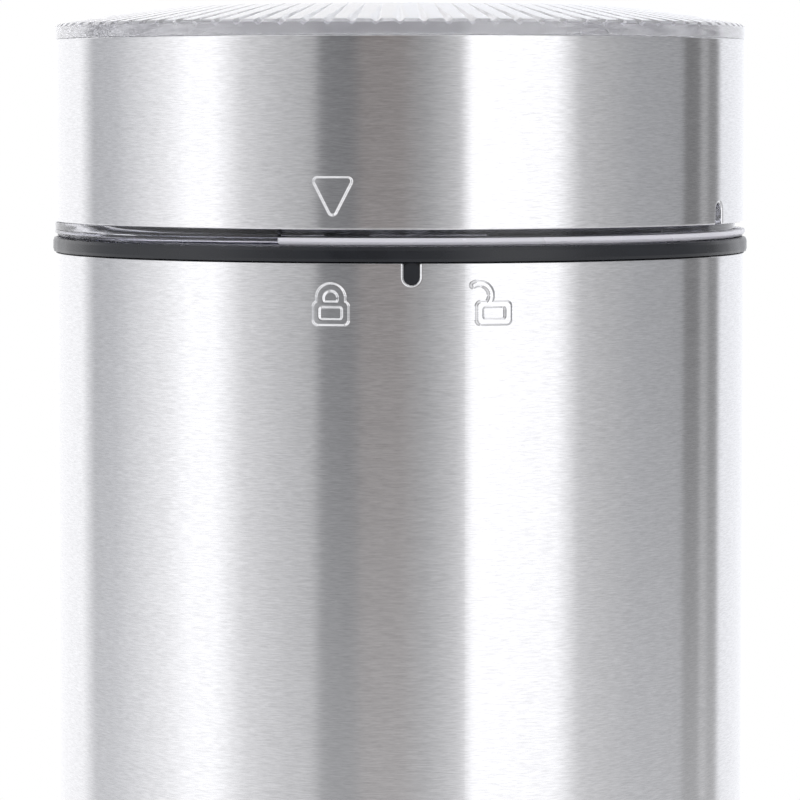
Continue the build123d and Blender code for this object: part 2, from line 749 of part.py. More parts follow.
with BuildPart() as sun_gear:
    gear_prism(SUN_TEETH, GEAR_BASE, GEAR_TOP, 0.85 * GEAR_MODULE, 1.1 * GEAR_MODULE, 0.08)
    wall(2.0, 0, GEAR_BASE - 1, GEAR_TOP + 1, mode=Mode.SUBTRACT)
keep(sun_gear.part, "sun_gear")

with BuildPart() as planet_blank:
    gear_prism(PLANET_TEETH, GEAR_BASE + 0.2, GEAR_TOP - 0.2, 0.85 * GEAR_MODULE,
               1.1 * GEAR_MODULE, 0.08)
    wall(1.55, 0, GEAR_BASE - 1, GEAR_TOP + 1, mode=Mode.SUBTRACT)
    wall(4.2, 2.6, GEAR_TOP - 0.7, GEAR_TOP, mode=Mode.SUBTRACT)
for number in range(1, PLANET_COUNT + 1):
    spot = Rotation(0, 0, 360 / PLANET_COUNT * (number - 1)) * Pos(PLANET_ORBIT, 0, 0)
    planet = spot * Rotation(0, 0, 180 / PLANET_TEETH) * planet_blank.part
    keep(planet, f"planet_gear_{number}")

with BuildPart() as planet_carrier:
    wall(15.6, SPINDLE_R, GEAR_TOP + 0.4, 120.6)
    with PolarLocations(PLANET_ORBIT, PLANET_COUNT):
        with Locations((0, 0, GEAR_BASE)):
            Cylinder(1.5, 7.5, align=(Align.CENTER, Align.CENTER, Align.MIN))
    with PolarLocations(PLANET_ORBIT, PLANET_COUNT, start_angle=60):
        with Locations((0, 0, 119)):
            Cylinder(2.2, 6, mode=Mode.SUBTRACT)
keep(planet_carrier.part, "planet_carrier")

with BuildPart() as motor_plate:
    wall(21.3, 3.6, MOTOR_TOP, 110.0)
    for azimuth in (90, 270):
        x, y, _ = place(azimuth, 8.0)
        post(x, y, 1.35, 107, 111, mode=Mode.SUBTRACT)
keep(motor_plate.part, "motor_plate")


def pan_screw(shank, length, head_r, head_height):
    """A pan-head screw with a cross slot. Its shank stands on the head's seat at Z 0."""
    with BuildPart() as screw:
        wall(shank, 0, 0, length)
        wall(head_r, 0, -head_height, 0)
        fillet(screw.faces().sort_by(Axis.Z)[0].edges(), head_height * 0.45)
        for size in ((head_r * 1.2, 0.5), (0.5, head_r * 1.2)):
            with Locations((0, 0, -head_height)):
                Box(*size, head_height, mode=Mode.SUBTRACT)
    return screw.part


ear_screw = pan_screw(1.2, 6.5, 2.4, 1.5)
motor_screw = Rotation(180, 0, 0) * pan_screw(1.25, 5.0, 2.2, 1.1)

with BuildPart() as drive_screws:
    with Locations(*[place(azimuth, EAR_ORBIT, 121.0) for azimuth in GEARBOX_EARS]):
        add(ear_screw)
    with Locations(*[place(azimuth, 8.0, 110.0) for azimuth in (90, 270)]):
        add(motor_screw)
keep(drive_screws.part, "drive_screws")

# ---------------------------------------------------------------- motor

with BuildPart() as motor_can:
    wall(MOTOR_R, 0, MOTOR_BASE, MOTOR_TOP)
    fillet(motor_can.faces().sort_by(Axis.Z)[-1].edges(), 1.2)
    wall(MOTOR_R - 1, 0, MOTOR_BASE - 1, MOTOR_TOP - 1, mode=Mode.SUBTRACT)
    wall(3.6, 0, MOTOR_TOP - 2, MOTOR_TOP + 1, mode=Mode.SUBTRACT)
    for azimuth in (90, 270):
        x, y, _ = place(azimuth, 8.0)
        post(x, y, 1.3, MOTOR_TOP - 2, MOTOR_TOP + 1, mode=Mode.SUBTRACT)
        peg(azimuth, MOTOR_TOP - 5, 2.2, MOTOR_R - 3, MOTOR_R + 1, mode=Mode.SUBTRACT)
keep(motor_can.part, "motor_can")

with BuildPart() as shaft_bushes:
    wall(3.6, 2.04, 105.4, MOTOR_TOP + 1.6)
    wall(3.4, 2.04, 61.4, 63.6)
    wall(6.0, SPINDLE_R + 0.04, 121.0, 123.4)
keep(shaft_bushes.part, "shaft_bushes")

with BuildPart() as motor_magnets:
    for azimuth in (0, 180):
        arc_wall(MOTOR_R - 1.05, 13.4, 72.0, 102.0, azimuth, 130)
keep(motor_magnets.part, "motor_magnets")

with BuildPart() as motor_shaft:
    wall(2.0, 0, 61.0, GEAR_TOP)
keep(motor_shaft.part, "motor_shaft")

POLES = 5

with BuildPart() as motor_armature:
    wall(5.2, 2.0, 74.0, 100.0)
    for pole in range(POLES):
        azimuth = 360 / POLES * pole
        with BuildSketch(outward(azimuth, 87.0, 4.5)) as web:
            Rectangle(2.6, 26)
        extrude(web.sketch, amount=7.5)
        arc_wall(13.0, 11.4, 74.0, 100.0, azimuth, 54)
keep(motor_armature.part, "motor_armature")

with BuildPart() as motor_windings:
    for pole in range(POLES):
        with BuildSketch(outward(360 / POLES * pole, 87.0, 7.0)) as coil:
            RectangleRounded(6.6, 32, 3.0)
            Rectangle(2.8, 26.2, mode=Mode.SUBTRACT)
        extrude(coil.sketch, amount=3.7)
keep(motor_windings.part, "motor_windings")

with BuildPart() as commutator:
    wall(4.6, 2.0, 65.0, 70.0)
    for pole in range(POLES):
        block_plane = outward(360 / POLES * pole, 67.5, 4.1)
        with BuildSketch(block_plane) as slit:
            Rectangle(0.5, 6)
        extrude(slit.sketch, amount=1, mode=Mode.SUBTRACT)
keep(commutator.part, "commutator")

with BuildPart() as motor_end_cap:
    wall(MOTOR_R - 1.05, 3.4, 61.4, 64.6)
    wall(MOTOR_R, 3.4, 61.4, MOTOR_BASE)
    wall(5.4, 3.4, 60.4, 61.4)
    for azimuth in (90, 270):
        with BuildSketch(outward(azimuth, 67.2, 8.2)) as holder:
            Rectangle(4.6, 5.4)
            Rectangle(2.6, 3.4, mode=Mode.SUBTRACT)
        extrude(holder.sketch, amount=7.0)
keep(motor_end_cap.part, "motor_end_cap")

with BuildPart() as motor_brushes:
    for azimuth in (90, 270):
        with BuildSketch(outward(azimuth, 67.2, 4.65)) as carbon:
            Rectangle(2.5, 3.3)
        extrude(carbon.sketch, amount=8.0)
keep(motor_brushes.part, "motor_brushes")

# ---------------------------------------------------------------- body frame and shell

BUTTON_HEIGHT = 88.0
BUTTON_R = 6.8
PORT_HEIGHT = 68.0
LENS_HEIGHT = 101.0

with BuildPart() as chassis:
    wall(FRAME_R, 42.4, DECK_TOP, 146.0)
    for azimuth in columns():
        x, y, _ = place(azimuth, COLUMN_R)
        post(x, y, 3.4, DECK_TOP, 146.0)
        with BuildSketch(outward(azimuth, 0, COLUMN_R)) as web:
            with Locations((0, (DECK_TOP + 146.0) / 2)):
                Rectangle(2.4, 146.0 - DECK_TOP)
        extrude(web.sketch, amount=43.0 - COLUMN_R)
        post(x, y, SCREW_R + 0.3, DECK_TOP - 1, 147, mode=Mode.SUBTRACT)
    # Cradles over the two cells, and the guides beside the two boards.
    for side in (-1, 1):
        post(side * CELL_ORBIT, 0, 10.0, 104.0, 126.4)
        block((side * 42 - 1, -3, 104.0), (side * 42 + 1, 3, 126.4))
        block((side * 8.8 - 0.7, -42.2, 78), (side * 8.8 + 0.7, -36.3, 107))
        block((side * 14.8 - 0.7, 31.8, DECK_TOP), (side * 14.8 + 0.7, 40.4, 114))
    for side in (-1, 1):
        post(side * CELL_ORBIT, 0, CELL_R + 0.1, 103.0, 124.8, mode=Mode.SUBTRACT)
    peg(0, BUTTON_HEIGHT, 8.3, 38, 50, mode=Mode.SUBTRACT)
    peg(0, LENS_HEIGHT, 1.3, 38, 50, mode=Mode.SUBTRACT)
    with BuildSketch(outward(180, PORT_HEIGHT + 0.2, 30)) as port_slot:
        RectangleRounded(10.4, 5.4, 2.4)
    extrude(port_slot.sketch, amount=20, mode=Mode.SUBTRACT)
keep(chassis.part, "chassis")

shut_padlock = pressed_mark(padlock_outline(shut=True), MARK_AZIMUTH, 168.3)
open_padlock = pressed_mark(padlock_outline(shut=False), MARK_AZIMUTH + LID_TURN, 168.3)

with BuildPart() as body_sleeve:
    wall(BODY_R, BODY_R - SHEET, SLEEVE_BASE, SLEEVE_TOP)
    add(shut_padlock)
    add(open_padlock)
    key_notch(BODY_KEY_AZIMUTH, SLEEVE_TOP - KEY_HEIGHT, SLEEVE_TOP + 1, rounded_up=False)
    peg(0, BUTTON_HEIGHT, 8.3, 40, 50, mode=Mode.SUBTRACT)
    peg(0, LENS_HEIGHT, 1.3, 40, 50, mode=Mode.SUBTRACT)
    with BuildSketch(outward(180, PORT_HEIGHT, 40)) as flap_hole:
        RectangleRounded(14.6, 8.8, 2.0)
    extrude(flap_hole.sketch, amount=10, mode=Mode.SUBTRACT)
keep(body_sleeve.part, "body_sleeve")

MAGNET_R = 1.3
MAGNET_ORBIT = 43.0
MAGNET_AZIMUTHS = [60.0, 180.0, 300.0]

with BuildPart() as base_cap:
    turned(
        [
            (41.6, SKIRT_BASE),
            (TRIM_R - 0.5, SKIRT_BASE),
            (TRIM_R - 0.12, SKIRT_BASE + 0.12),
            (TRIM_R, SKIRT_BASE + 0.5),
            (TRIM_R, SLEEVE_BASE - 0.4),
            (TRIM_R - 0.2, SLEEVE_BASE - 0.02),
            (FRAME_R, SLEEVE_BASE - 0.02),
            (FRAME_R, DECK_TOP),
            (0, DECK_TOP),
            (0, DECK_BASE),
            (41.6, DECK_BASE),
        ]
    )
    block((-inside, CHUTE_FRONT + CHUTE_WALL, 50), (inside, CHUTE_BACK - CHUTE_WALL, 62),
          mode=Mode.SUBTRACT)
    for azimuth in columns():
        x, y, _ = place(azimuth, COLUMN_R)
        post(x, y, SCREW_R + 0.2, 50, 62, mode=Mode.SUBTRACT)
        post(x, y, 3.3, 50, 57.4, mode=Mode.SUBTRACT)
    for azimuth in MAGNET_AZIMUTHS:
        x, y, _ = place(azimuth, MAGNET_ORBIT)
        post(x, y, MAGNET_R + 0.02, SKIRT_BASE - 1, 52.2, mode=Mode.SUBTRACT)
    wall(19.6, 18.1, DECK_TOP - 0.5, 63.0)
    arc_wall(20, 17.5, DECK_TOP, 64.0, 180, 60, mode=Mode.SUBTRACT)
keep(base_cap.part, "base_cap")

with BuildPart() as body_magnets:
    for azimuth in MAGNET_AZIMUTHS:
        x, y, _ = place(azimuth, MAGNET_ORBIT)
        post(x, y, MAGNET_R, SKIRT_BASE + 0.1, 52.2)
keep(body_magnets.part, "body_magnets")

tie_screw = pan_screw(SCREW_R, 96.0, 2.9, 1.3)

with BuildPart() as tie_screws:
    with Locations(*[place(azimuth, COLUMN_R, 57.4) for azimuth in columns()]):
        add(tie_screw)
keep(tie_screws.part, "tie_screws")

# ---------------------------------------------------------------- power button

with BuildPart() as button_bezel:
    peg(0, BUTTON_HEIGHT, 8.2, 43.2, 45.15)
    peg(0, BUTTON_HEIGHT, 7.0, 42, 46, mode=Mode.SUBTRACT)
    fillet(button_bezel.faces().sort_by(Axis.Y)[0].edges(), 0.35)
keep(button_bezel.part, "button_bezel")

with BuildPart() as power_button:
    peg(0, BUTTON_HEIGHT, BUTTON_R, 42.2, 45.0)
    peg(0, BUTTON_HEIGHT, 7.7, 42.2, 43.0)
    peg(0, BUTTON_HEIGHT, 1.6, 41.6, 42.4)
    fillet(power_button.faces().sort_by(Axis.Y)[0].edges(), 0.5)
    # A power sign, sunk in the face.
    with BuildSketch(outward(0, BUTTON_HEIGHT, 44.75)) as sign:
        with BuildLine():
            ring = CenterArc((0, 0), 2.6, 130, 280)
            offset(ring, amount=0.28)
        make_face()
        with Locations((0, 2.2)):
            RectangleRounded(0.56, 2.6, 0.27)
    extrude(sign.sketch, amount=1, mode=Mode.SUBTRACT)
keep(power_button.part, "power_button")

return_spring = coil_spring(4.4, 0.3, 37.7, 42.1, 3)

with BuildPart() as button_spring:
    with Locations(Location((0, 0, BUTTON_HEIGHT), (90, 0, 0))):
        add(return_spring)
keep(button_spring.part, "button_spring")

with BuildPart() as switch_board:
    block((-8, -37.6, BUTTON_HEIGHT - 8), (8, -36.4, LENS_HEIGHT + 4))
    with Locations((0, -38.5, BUTTON_HEIGHT)):
        Box(5.2, 1.8, 5.2)
    peg(0, BUTTON_HEIGHT, 1.4, 39.3, 40.1)
    with Locations((0, -38.0, LENS_HEIGHT)):
        Box(2.0, 0.9, 1.4)
keep(switch_board.part, "switch_board")

with BuildPart() as status_lens:
    peg(0, LENS_HEIGHT, 1.2, 39.0, 45.0)
    fillet(status_lens.faces().sort_by(Axis.Y)[0].edges(), 0.4)
keep(status_lens.part, "status_lens")

# ---------------------------------------------------------------- power and control

with BuildPart() as battery_cells:
    for side in (-1, 1):
        post(side * CELL_ORBIT, 0, CELL_R, 59.6, 59.6 + CELL_LENGTH - 1.0)
        post(side * CELL_ORBIT, 0, 3.0, 59.6 + CELL_LENGTH - 1.0, 59.6 + CELL_LENGTH)
keep(battery_cells.part, "battery_cells")

with BuildPart() as control_board:
    block((-14, 33.0, 61.0), (14, 34.6, 112.0))
    for x, z in ((-11.5, 63.5), (11.5, 63.5), (-11.5, 109.5), (11.5, 109.5)):
        with BuildSketch(outward(180, z, 32)) as hole:
            with Locations((x, 0)):
                Circle(1.1)
        extrude(hole.sketch, amount=4, mode=Mode.SUBTRACT)
    # What is soldered to it.
    for low, high in (
        ((-4, 34.6, 78), (4, 36.0, 86)),
        ((-12, 34.6, 90), (-5, 37.6, 97)),
        ((5, 34.6, 90), (11, 36.2, 98)),
        ((-11, 34.6, 80), (-8, 35.6, 85)),
        ((8, 34.6, 74), (12, 36.6, 84)),
        ((-3, 31.4, 95), (3, 33.0, 103)),
        ((-12, 34.6, 101), (-3, 38.0, 107)),
    ):
        block(low, high)
    for x in (2.5, 7.5):
        with Locations((x, 37.1, 103.5)):
            Cylinder(2.1, 5.0, rotation=(90, 0, 0))
keep(control_board.part, "control_board")

with BuildPart() as usb_socket:
    with BuildSketch(outward(180, PORT_HEIGHT + 0.2, 34.6)):
        RectangleRounded(8.9, 3.2, 1.5)
    extrude(amount=7.4)
    with BuildSketch(outward(180, PORT_HEIGHT + 0.2, 36.2)):
        RectangleRounded(8.3, 2.6, 1.25)
        Rectangle(6.6, 0.7, mode=Mode.SUBTRACT)
    extrude(amount=7, mode=Mode.SUBTRACT)
keep(usb_socket.part, "usb_socket")

with BuildPart() as port_cover:
    with BuildSketch(outward(180, PORT_HEIGHT, 40)) as plate:
        RectangleRounded(14.2, 8.2, 1.8)
    extrude(plate.sketch, amount=8)
    wall(BODY_R, FRAME_R + 0.1, PORT_HEIGHT - 6, PORT_HEIGHT + 6, mode=Mode.INTERSECT)
    with BuildSketch(outward(180, PORT_HEIGHT + 0.2, 42.6)) as plug:
        RectangleRounded(9.6, 4.2, 1.9)
    extrude(plug.sketch, amount=1.9)
    # A finger nick at the top edge.
    with Locations((0, BODY_R + 0.3, PORT_HEIGHT + 4.1)):
        Sphere(1.2, mode=Mode.SUBTRACT)
    # The bead along the lower edge that the flap swings on.
    with Locations((0, BODY_R - 0.15, PORT_HEIGHT - 3.75)):
        Cylinder(0.3, 8, rotation=(0, 90, 0))
keep(port_cover.part, "port_cover")


def lead(points, radius, bends):
    """A round insulated wire along straight runs with bends."""
    with BuildPart() as wire:
        with BuildLine() as route:
            FilletPolyline(*points, radius=bends)
        with BuildSketch(Plane(origin=route.line @ 0, z_dir=route.line % 0)):
            Circle(radius)
        sweep(path=route.line)
    return wire.part


motor_lead = lead([(7, 33, 74), (7, 27.5, 74), (6.3, 23.5, 60.3), (5, 12.5, 60.1)], 0.8, 2.2)
cell_lead = lead([(12, 33, 66), (12, 28.5, 66), (18, 22, 60.4), (25.5, 8.8, 60.2)], 0.8, 2.2)

with BuildPart() as wiring:
    add([motor_lead, cell_lead])
    mirror(about=Plane.YZ)
keep(wiring.part, "wiring")

# ---------------------------------------------------------------- grounds cup

NECK_R = 40.9

with BuildPart() as cup_liner:
    turned(
        [
            (0, 5.0),
            (38.9, 5.0),
            (NECK_R, 7.0),
            (NECK_R, 48.2),
            (TRIM_R - 0.4, 48.2),
            (TRIM_R - 0.1, 48.5),
            (TRIM_R - 0.1, CUP_TOP - 0.3),
            (TRIM_R - 0.4, CUP_TOP),
            (NECK_R + 0.1, CUP_TOP),
            (NECK_R + 0.1, 52.4),
            (NECK_R - 0.5, 52.4),
            (NECK_R - 0.5, 54.0),
            (NECK_R + 0.1, 54.0),
            (NECK_R - 0.2, 55.6),
            (39.4, 55.6),
            (39.4, 9.0),
            (37.0, 6.6),
            (0, 6.6),
        ]
    )
    for azimuth in MAGNET_AZIMUTHS:
        x, y, _ = place(azimuth, MAGNET_ORBIT)
        post(x, y, MAGNET_R + 0.02, 48.6, 51, mode=Mode.SUBTRACT)
keep(cup_liner.part, "cup_liner")

with BuildPart() as cup_shell:
    wall(BODY_R, BODY_R - SHEET, 3.6, 48.2)
keep(cup_shell.part, "cup_shell")

with BuildPart() as cup_base:
    turned(
        [
            (0, FOOT_TOP - 0.2),
            (TRIM_R - 1.2, FOOT_TOP - 0.2),
            (TRIM_R - 0.25, FOOT_TOP + 0.7),
            (TRIM_R, 2.8),
            (TRIM_R - 0.1, 3.6),
            (BODY_R - SHEET - 0.05, 3.6),
            (BODY_R - SHEET - 0.05, 48.1),
            (42.9, 48.1),
            (42.9, 12.0),
            (NECK_R + 0.6, 12.0),
            (NECK_R + 0.6, 4.6),
            (0, 4.6),
        ]
    )
    wall(41.0, 35.0, 0, FOOT_TOP + 0.6, mode=Mode.SUBTRACT)
keep(cup_base.part, "cup_base")

with BuildPart() as foot_pad:
    wall(40.9, 35.1, 0, FOOT_TOP + 0.6)
    fillet(foot_pad.faces().sort_by(Axis.Z)[0].edges(), 0.4)
keep(foot_pad.part, "foot_pad")

with BuildPart() as cup_seal:
    wall(41.5, NECK_R - 0.48, 52.5, 53.9)
    fillet(cup_seal.edges().filter_by(GeomType.CIRCLE).group_by(SortBy.RADIUS)[-1], 0.4)
keep(cup_seal.part, "cup_seal")

with BuildPart() as cup_magnets:
    for azimuth in MAGNET_AZIMUTHS:
        x, y, _ = place(azimuth, MAGNET_ORBIT)
        post(x, y, MAGNET_R, 48.6, CUP_TOP - 0.05)
keep(cup_magnets.part, "cup_magnets")
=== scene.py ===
# Looks of the cordless burr coffee grinder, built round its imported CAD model.
# Shapes are worked out in millimetres and turned into metres as each mesh is made.
# Azimuths are degrees round the body: 0 is the front (-Y) and they grow towards +X.
import math

import bmesh
import bpy
import numpy as np
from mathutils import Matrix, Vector


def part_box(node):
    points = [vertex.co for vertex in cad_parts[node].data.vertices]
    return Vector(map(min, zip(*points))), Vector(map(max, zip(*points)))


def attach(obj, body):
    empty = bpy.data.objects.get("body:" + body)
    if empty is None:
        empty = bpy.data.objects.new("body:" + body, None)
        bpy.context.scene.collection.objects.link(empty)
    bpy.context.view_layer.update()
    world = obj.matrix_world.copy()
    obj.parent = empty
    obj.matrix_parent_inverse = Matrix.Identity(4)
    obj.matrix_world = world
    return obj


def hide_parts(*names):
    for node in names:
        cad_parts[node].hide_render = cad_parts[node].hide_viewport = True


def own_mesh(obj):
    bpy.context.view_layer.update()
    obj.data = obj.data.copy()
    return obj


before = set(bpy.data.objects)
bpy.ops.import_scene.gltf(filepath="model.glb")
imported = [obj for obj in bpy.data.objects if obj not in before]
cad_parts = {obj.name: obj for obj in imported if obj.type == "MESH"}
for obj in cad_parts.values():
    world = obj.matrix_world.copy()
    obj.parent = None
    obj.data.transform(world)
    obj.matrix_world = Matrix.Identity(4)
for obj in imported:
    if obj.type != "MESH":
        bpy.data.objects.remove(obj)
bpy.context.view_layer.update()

MM = 0.001


def span(node, axis=2):
    """The lowest and highest place of a CAD node along an axis, in millimetres."""
    low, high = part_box(node)
    return low[axis] / MM, high[axis] / MM


# ---------------------------------------------------------------- sizes

BODY_R = span("cup_shell", 0)[1]
TRIM_R = span("cup_base", 0)[1]
SHEET = 0.5
sleeve_low, sleeve_high = span("body_sleeve")
shell_low, shell_high = span("cup_shell")
band_low, band_high = span("lid_band")
crown = span("lid_cover")[1]
foot_top = span("foot_pad")[1]

MARK_AZIMUTH = -10.4
LID_TURN = 25.0
STEP_AZIMUTH = -19.2
BODY_KEY_AZIMUTH = 1.8
LID_KEY_AZIMUTH = 63.6
KEY_WIDTH = 2.02
KEY_HEIGHT = 2.7
MARK_RISE = 0.22
MARK_BEVEL = 0.26
LOCK_SHIFT = 0.3  # the closed padlock stands this many degrees left of the pointer
EDGE_ROUND = 0.26  # how far the steel round a notch is pressed in, and how deep
EDGE_SINK = 0.22
PADLOCK_FOOT = 168.25
POINTER_HEIGHT = 183.9
BUTTON_HEIGHT = 88.0
LENS_HEIGHT = 101.0
PORT_HEIGHT = 68.0
BUTTON_HOLE_R = 8.3
LENS_HOLE_R = 1.3
PORT_WIDTH, PORT_TALL, PORT_CORNER = 14.6, 8.8, 2.0
FLUTES = 96

# ---------------------------------------------------------------- meshes


def piece(name, points, faces, look, body, slot, *nodes, sharp=32):
    """A shown piece from points in millimetres, which stands for some CAD nodes."""
    mesh = bpy.data.meshes.new(name)
    mesh.from_pydata((np.asarray(points) * MM).tolist(), [], [list(map(int, f)) for f in faces])
    form = bmesh.new()
    form.from_mesh(mesh)
    bmesh.ops.remove_doubles(form, verts=form.verts, dist=1e-7)
    bmesh.ops.recalc_face_normals(form, faces=form.faces)
    form.to_mesh(mesh)
    form.free()
    mesh.shade_smooth()
    mesh.set_sharp_from_angle(angle=math.radians(sharp))
    mesh.materials.append(look)
    made = bpy.data.objects.new(name, mesh)
    bpy.context.scene.collection.objects.link(made)
    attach(made, body)
    if nodes:
        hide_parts(*nodes)
    return made


def rounded(corners, steps=5):
    """A closed outline of (radius, height, fillet) corners, with its fillets as short arcs."""
    outline = []
    for k, (r, z, fillet) in enumerate(corners):
        corner = np.array((r, z), float)
        if not fillet:
            outline.append(corner)
            continue
        back = np.array(corners[k - 1][:2], float) - corner
        ahead = np.array(corners[(k + 1) % len(corners)][:2], float) - corner
        back /= np.linalg.norm(back)
        ahead /= np.linalg.norm(ahead)
        half = math.acos(np.clip(back @ ahead, -1, 1)) / 2
        middle = (back + ahead) / np.linalg.norm(back + ahead)
        centre = corner + middle * fillet / math.sin(half)
        reach = fillet / math.tan(half)
        for t in np.linspace(0, 1, steps):
            chord = corner + back * reach * (1 - t) + ahead * reach * t - centre
            outline.append(centre + chord / np.linalg.norm(chord) * fillet)
    return np.array(outline)


def turned(outline, azimuths, bend=None):
    """Points and faces of a closed outline turned about Z; bend moves its (radius, height) by azimuth."""
    azimuths = np.asarray(azimuths, float)
    a, r = np.meshgrid(azimuths, outline[:, 0], indexing="ij")
    z = np.broadcast_to(outline[:, 1], r.shape).copy()
    if bend:
        r, z = bend(a, r, z)
    turn = np.radians(a)
    points = np.stack([r * np.sin(turn), -r * np.cos(turn), z], -1).reshape(-1, 3)
    columns, rows = r.shape
    i, j = np.meshgrid(np.arange(columns), np.arange(rows), indexing="ij")
    ahead, above = (i + 1) % columns, (j + 1) % rows
    faces = np.stack([i * rows + j, ahead * rows + j, ahead * rows + above, i * rows + above], -1)
    return points, faces.reshape(-1, 4)


def steps_between(low, high, coarse, fine, stretches):
    """Rising values from low to high, close together inside the (low, high) stretches."""
    values = list(np.arange(low, high, coarse))
    for start, stop in stretches:
        values = [v for v in values if not start <= v <= stop]
        values += list(np.arange(start, stop, fine))
    return np.unique(np.round(values, 5))


def cut(target, name, points, faces):
    """Cuts a closed shape, given in millimetres, out of a piece."""
    mesh = bpy.data.meshes.new(name)
    mesh.from_pydata((np.asarray(points) * MM).tolist(), [], faces)
    form = bmesh.new()
    form.from_mesh(mesh)
    bmesh.ops.recalc_face_normals(form, faces=form.faces)
    form.to_mesh(mesh)
    form.free()
    tool = bpy.data.objects.new(name, mesh)
    bpy.context.scene.collection.objects.link(tool)
    modifier = target.modifiers.new(name, "BOOLEAN")
    modifier.operation = "DIFFERENCE"
    modifier.solver = "EXACT"
    modifier.object = tool
    bpy.context.view_layer.update()
    seen = target.evaluated_get(bpy.context.evaluated_depsgraph_get())
    result = bpy.data.meshes.new_from_object(seen)
    target.modifiers.remove(modifier)
    target.data = result
    bpy.data.objects.remove(tool)


def hole_shape(azimuth, height, outline, inner, outer):
    """A prism along a radius: the outline's (across, up) points between two radii."""
    turn = math.radians(azimuth)
    out = np.array((math.sin(turn), -math.cos(turn), 0))
    across = np.array((math.cos(turn), math.sin(turn), 0))
    ring = [across * u + np.array((0, 0, height + v)) for u, v in outline]
    points = [p + out * inner for p in ring] + [p + out * outer for p in ring]
    n = len(ring)
    faces = [list(range(n)), list(range(2 * n - 1, n - 1, -1))]
    faces += [[k, k + n, (k + 1) % n + n, (k + 1) % n] for k in range(n)]
    return points, faces


def round_points(radius, count, start=0.0, sweep=360.0):
    """Points on an arc about the origin, without the last one where it is a full circle."""
    ends = sweep < 360
    angles = np.radians(start + np.linspace(0, sweep, count, endpoint=ends))
    return [(radius * math.cos(t), radius * math.sin(t)) for t in angles]


def rounded_box_points(width, height, radius):
    """The outline of a rectangle with round corners."""
    points = []
    for quarter, (x, y) in enumerate(((1, 1), (-1, 1), (-1, -1), (1, -1))):
        middle = (x * (width / 2 - radius), y * (height / 2 - radius))
        points += [(middle[0] + u, middle[1] + v) for u, v in round_points(radius, 9, 90 * quarter, 90)]
    return points


# ---------------------------------------------------------------- materials


class Look:
    """A node material about one Principled shader, with patterns in object space."""

    def __init__(self, name, **values):
        self.material = bpy.data.materials.new(name)
        self.material.use_nodes = True
        self.tree = self.material.node_tree
        self.shader = self.tree.nodes["Principled BSDF"]
        for socket, value in values.items():
            value = (*value, 1) if isinstance(value, tuple) else value
            self.shader.inputs[socket.replace("_", " ")].default_value = value
        self.place = self.add("ShaderNodeTexCoord").outputs["Object"]
        self.height = None

    def add(self, kind, **settings):
        node = self.tree.nodes.new(kind)
        for key, value in settings.items():
            setattr(node, key, value)
        return node

    def wire(self, source, node, socket):
        self.tree.links.new(source, node.inputs[socket])

    def noise(self, scale, detail, roughness):
        """Noise over object space: scale is how many features a millimetre holds, along x, y and z."""
        mapping = self.add("ShaderNodeMapping")
        mapping.inputs["Scale"].default_value = [s / MM for s in scale]
        self.wire(self.place, mapping, "Vector")
        texture = self.add("ShaderNodeTexNoise")
        texture.inputs["Scale"].default_value = 1.0
        texture.inputs["Detail"].default_value = detail
        texture.inputs["Roughness"].default_value = roughness
        self.wire(mapping.outputs[0], texture, "Vector")
        return texture.outputs["Fac"]

    def ramp(self, source, *stops):
        """A colour ramp of (place, colour) stops over a value."""
        node = self.add("ShaderNodeValToRGB")
        elements = node.color_ramp.elements
        while len(elements) < len(stops):
            elements.new(0.5)
        for element, (place, colour) in zip(elements, stops):
            element.position = place
            element.color = (*colour, 1)
        self.wire(source, node, "Fac")
        return node.outputs["Color"]

    def spread(self, source, low, high, socket):
        """Feeds a socket from low to high as the source runs over its middle range."""
        node = self.add("ShaderNodeMapRange")
        node.inputs["From Min"].default_value = 0.3
        node.inputs["From Max"].default_value = 0.7
        node.inputs["To Min"].default_value = low
        node.inputs["To Max"].default_value = high
        self.wire(source, node, "Value")
        self.wire(node.outputs[0], self.shader, socket)

    def bump(self, source, depth):
        """Adds a bump of a depth in millimetres to those already there."""
        node = self.add("ShaderNodeBump")
        node.inputs["Distance"].default_value = depth * MM
        self.wire(source, node, "Height")
        if self.height:
            self.wire(self.height, node, "Normal")
        self.height = node.outputs["Normal"]
        self.wire(self.height, self.shader, "Normal")


def tinted(colour, share):
    """A colour made lighter or darker by a share."""
    return tuple(min(1.0, c * (1 + share)) for c in colour)


def brushed_steel(name, colour, low, high, bump, around=0.02, along=7.0):
    """Sheet steel brushed round the body: long fine lines that spread light up and down."""
    look = Look(name, Metallic=1.0, Anisotropic=0.9, Anisotropic_Rotation=0.25)
    tangent = look.add("ShaderNodeTangent", direction_type="RADIAL", axis="Z")
    look.wire(tangent.outputs[0], look.shader, "Tangent")
    fine = look.noise((around, around, along), 3, 0.65)
    broad = look.noise((around / 4, around / 4, along / 5), 2, 0.5)
    colour_of = look.ramp(fine, (0.3, tinted(colour, -0.15)), (0.7, tinted(colour, 0.1)))
    look.wire(colour_of, look.shader, "Base Color")
    look.spread(broad, low, high, "Roughness")
    look.bump(fine, bump)
    return look.material


def satin(name, colour, low, high, grain=(6, 6, 6), bump=0.006, vary=0.12, **values):
    """Moulded or cast material: a fine grain, with a slow change of colour and gloss."""
    look = Look(name, **values)
    fine = look.noise(grain, 2, 0.6)
    slow = look.noise((0.25, 0.25, 0.25), 3, 0.6)
    shades = look.ramp(slow, (0.3, tinted(colour, -vary)), (0.7, tinted(colour, vary)))
    look.wire(shades, look.shader, "Base Color")
    look.spread(slow, low, high, "Roughness")
    look.bump(fine, bump)
    return look.material


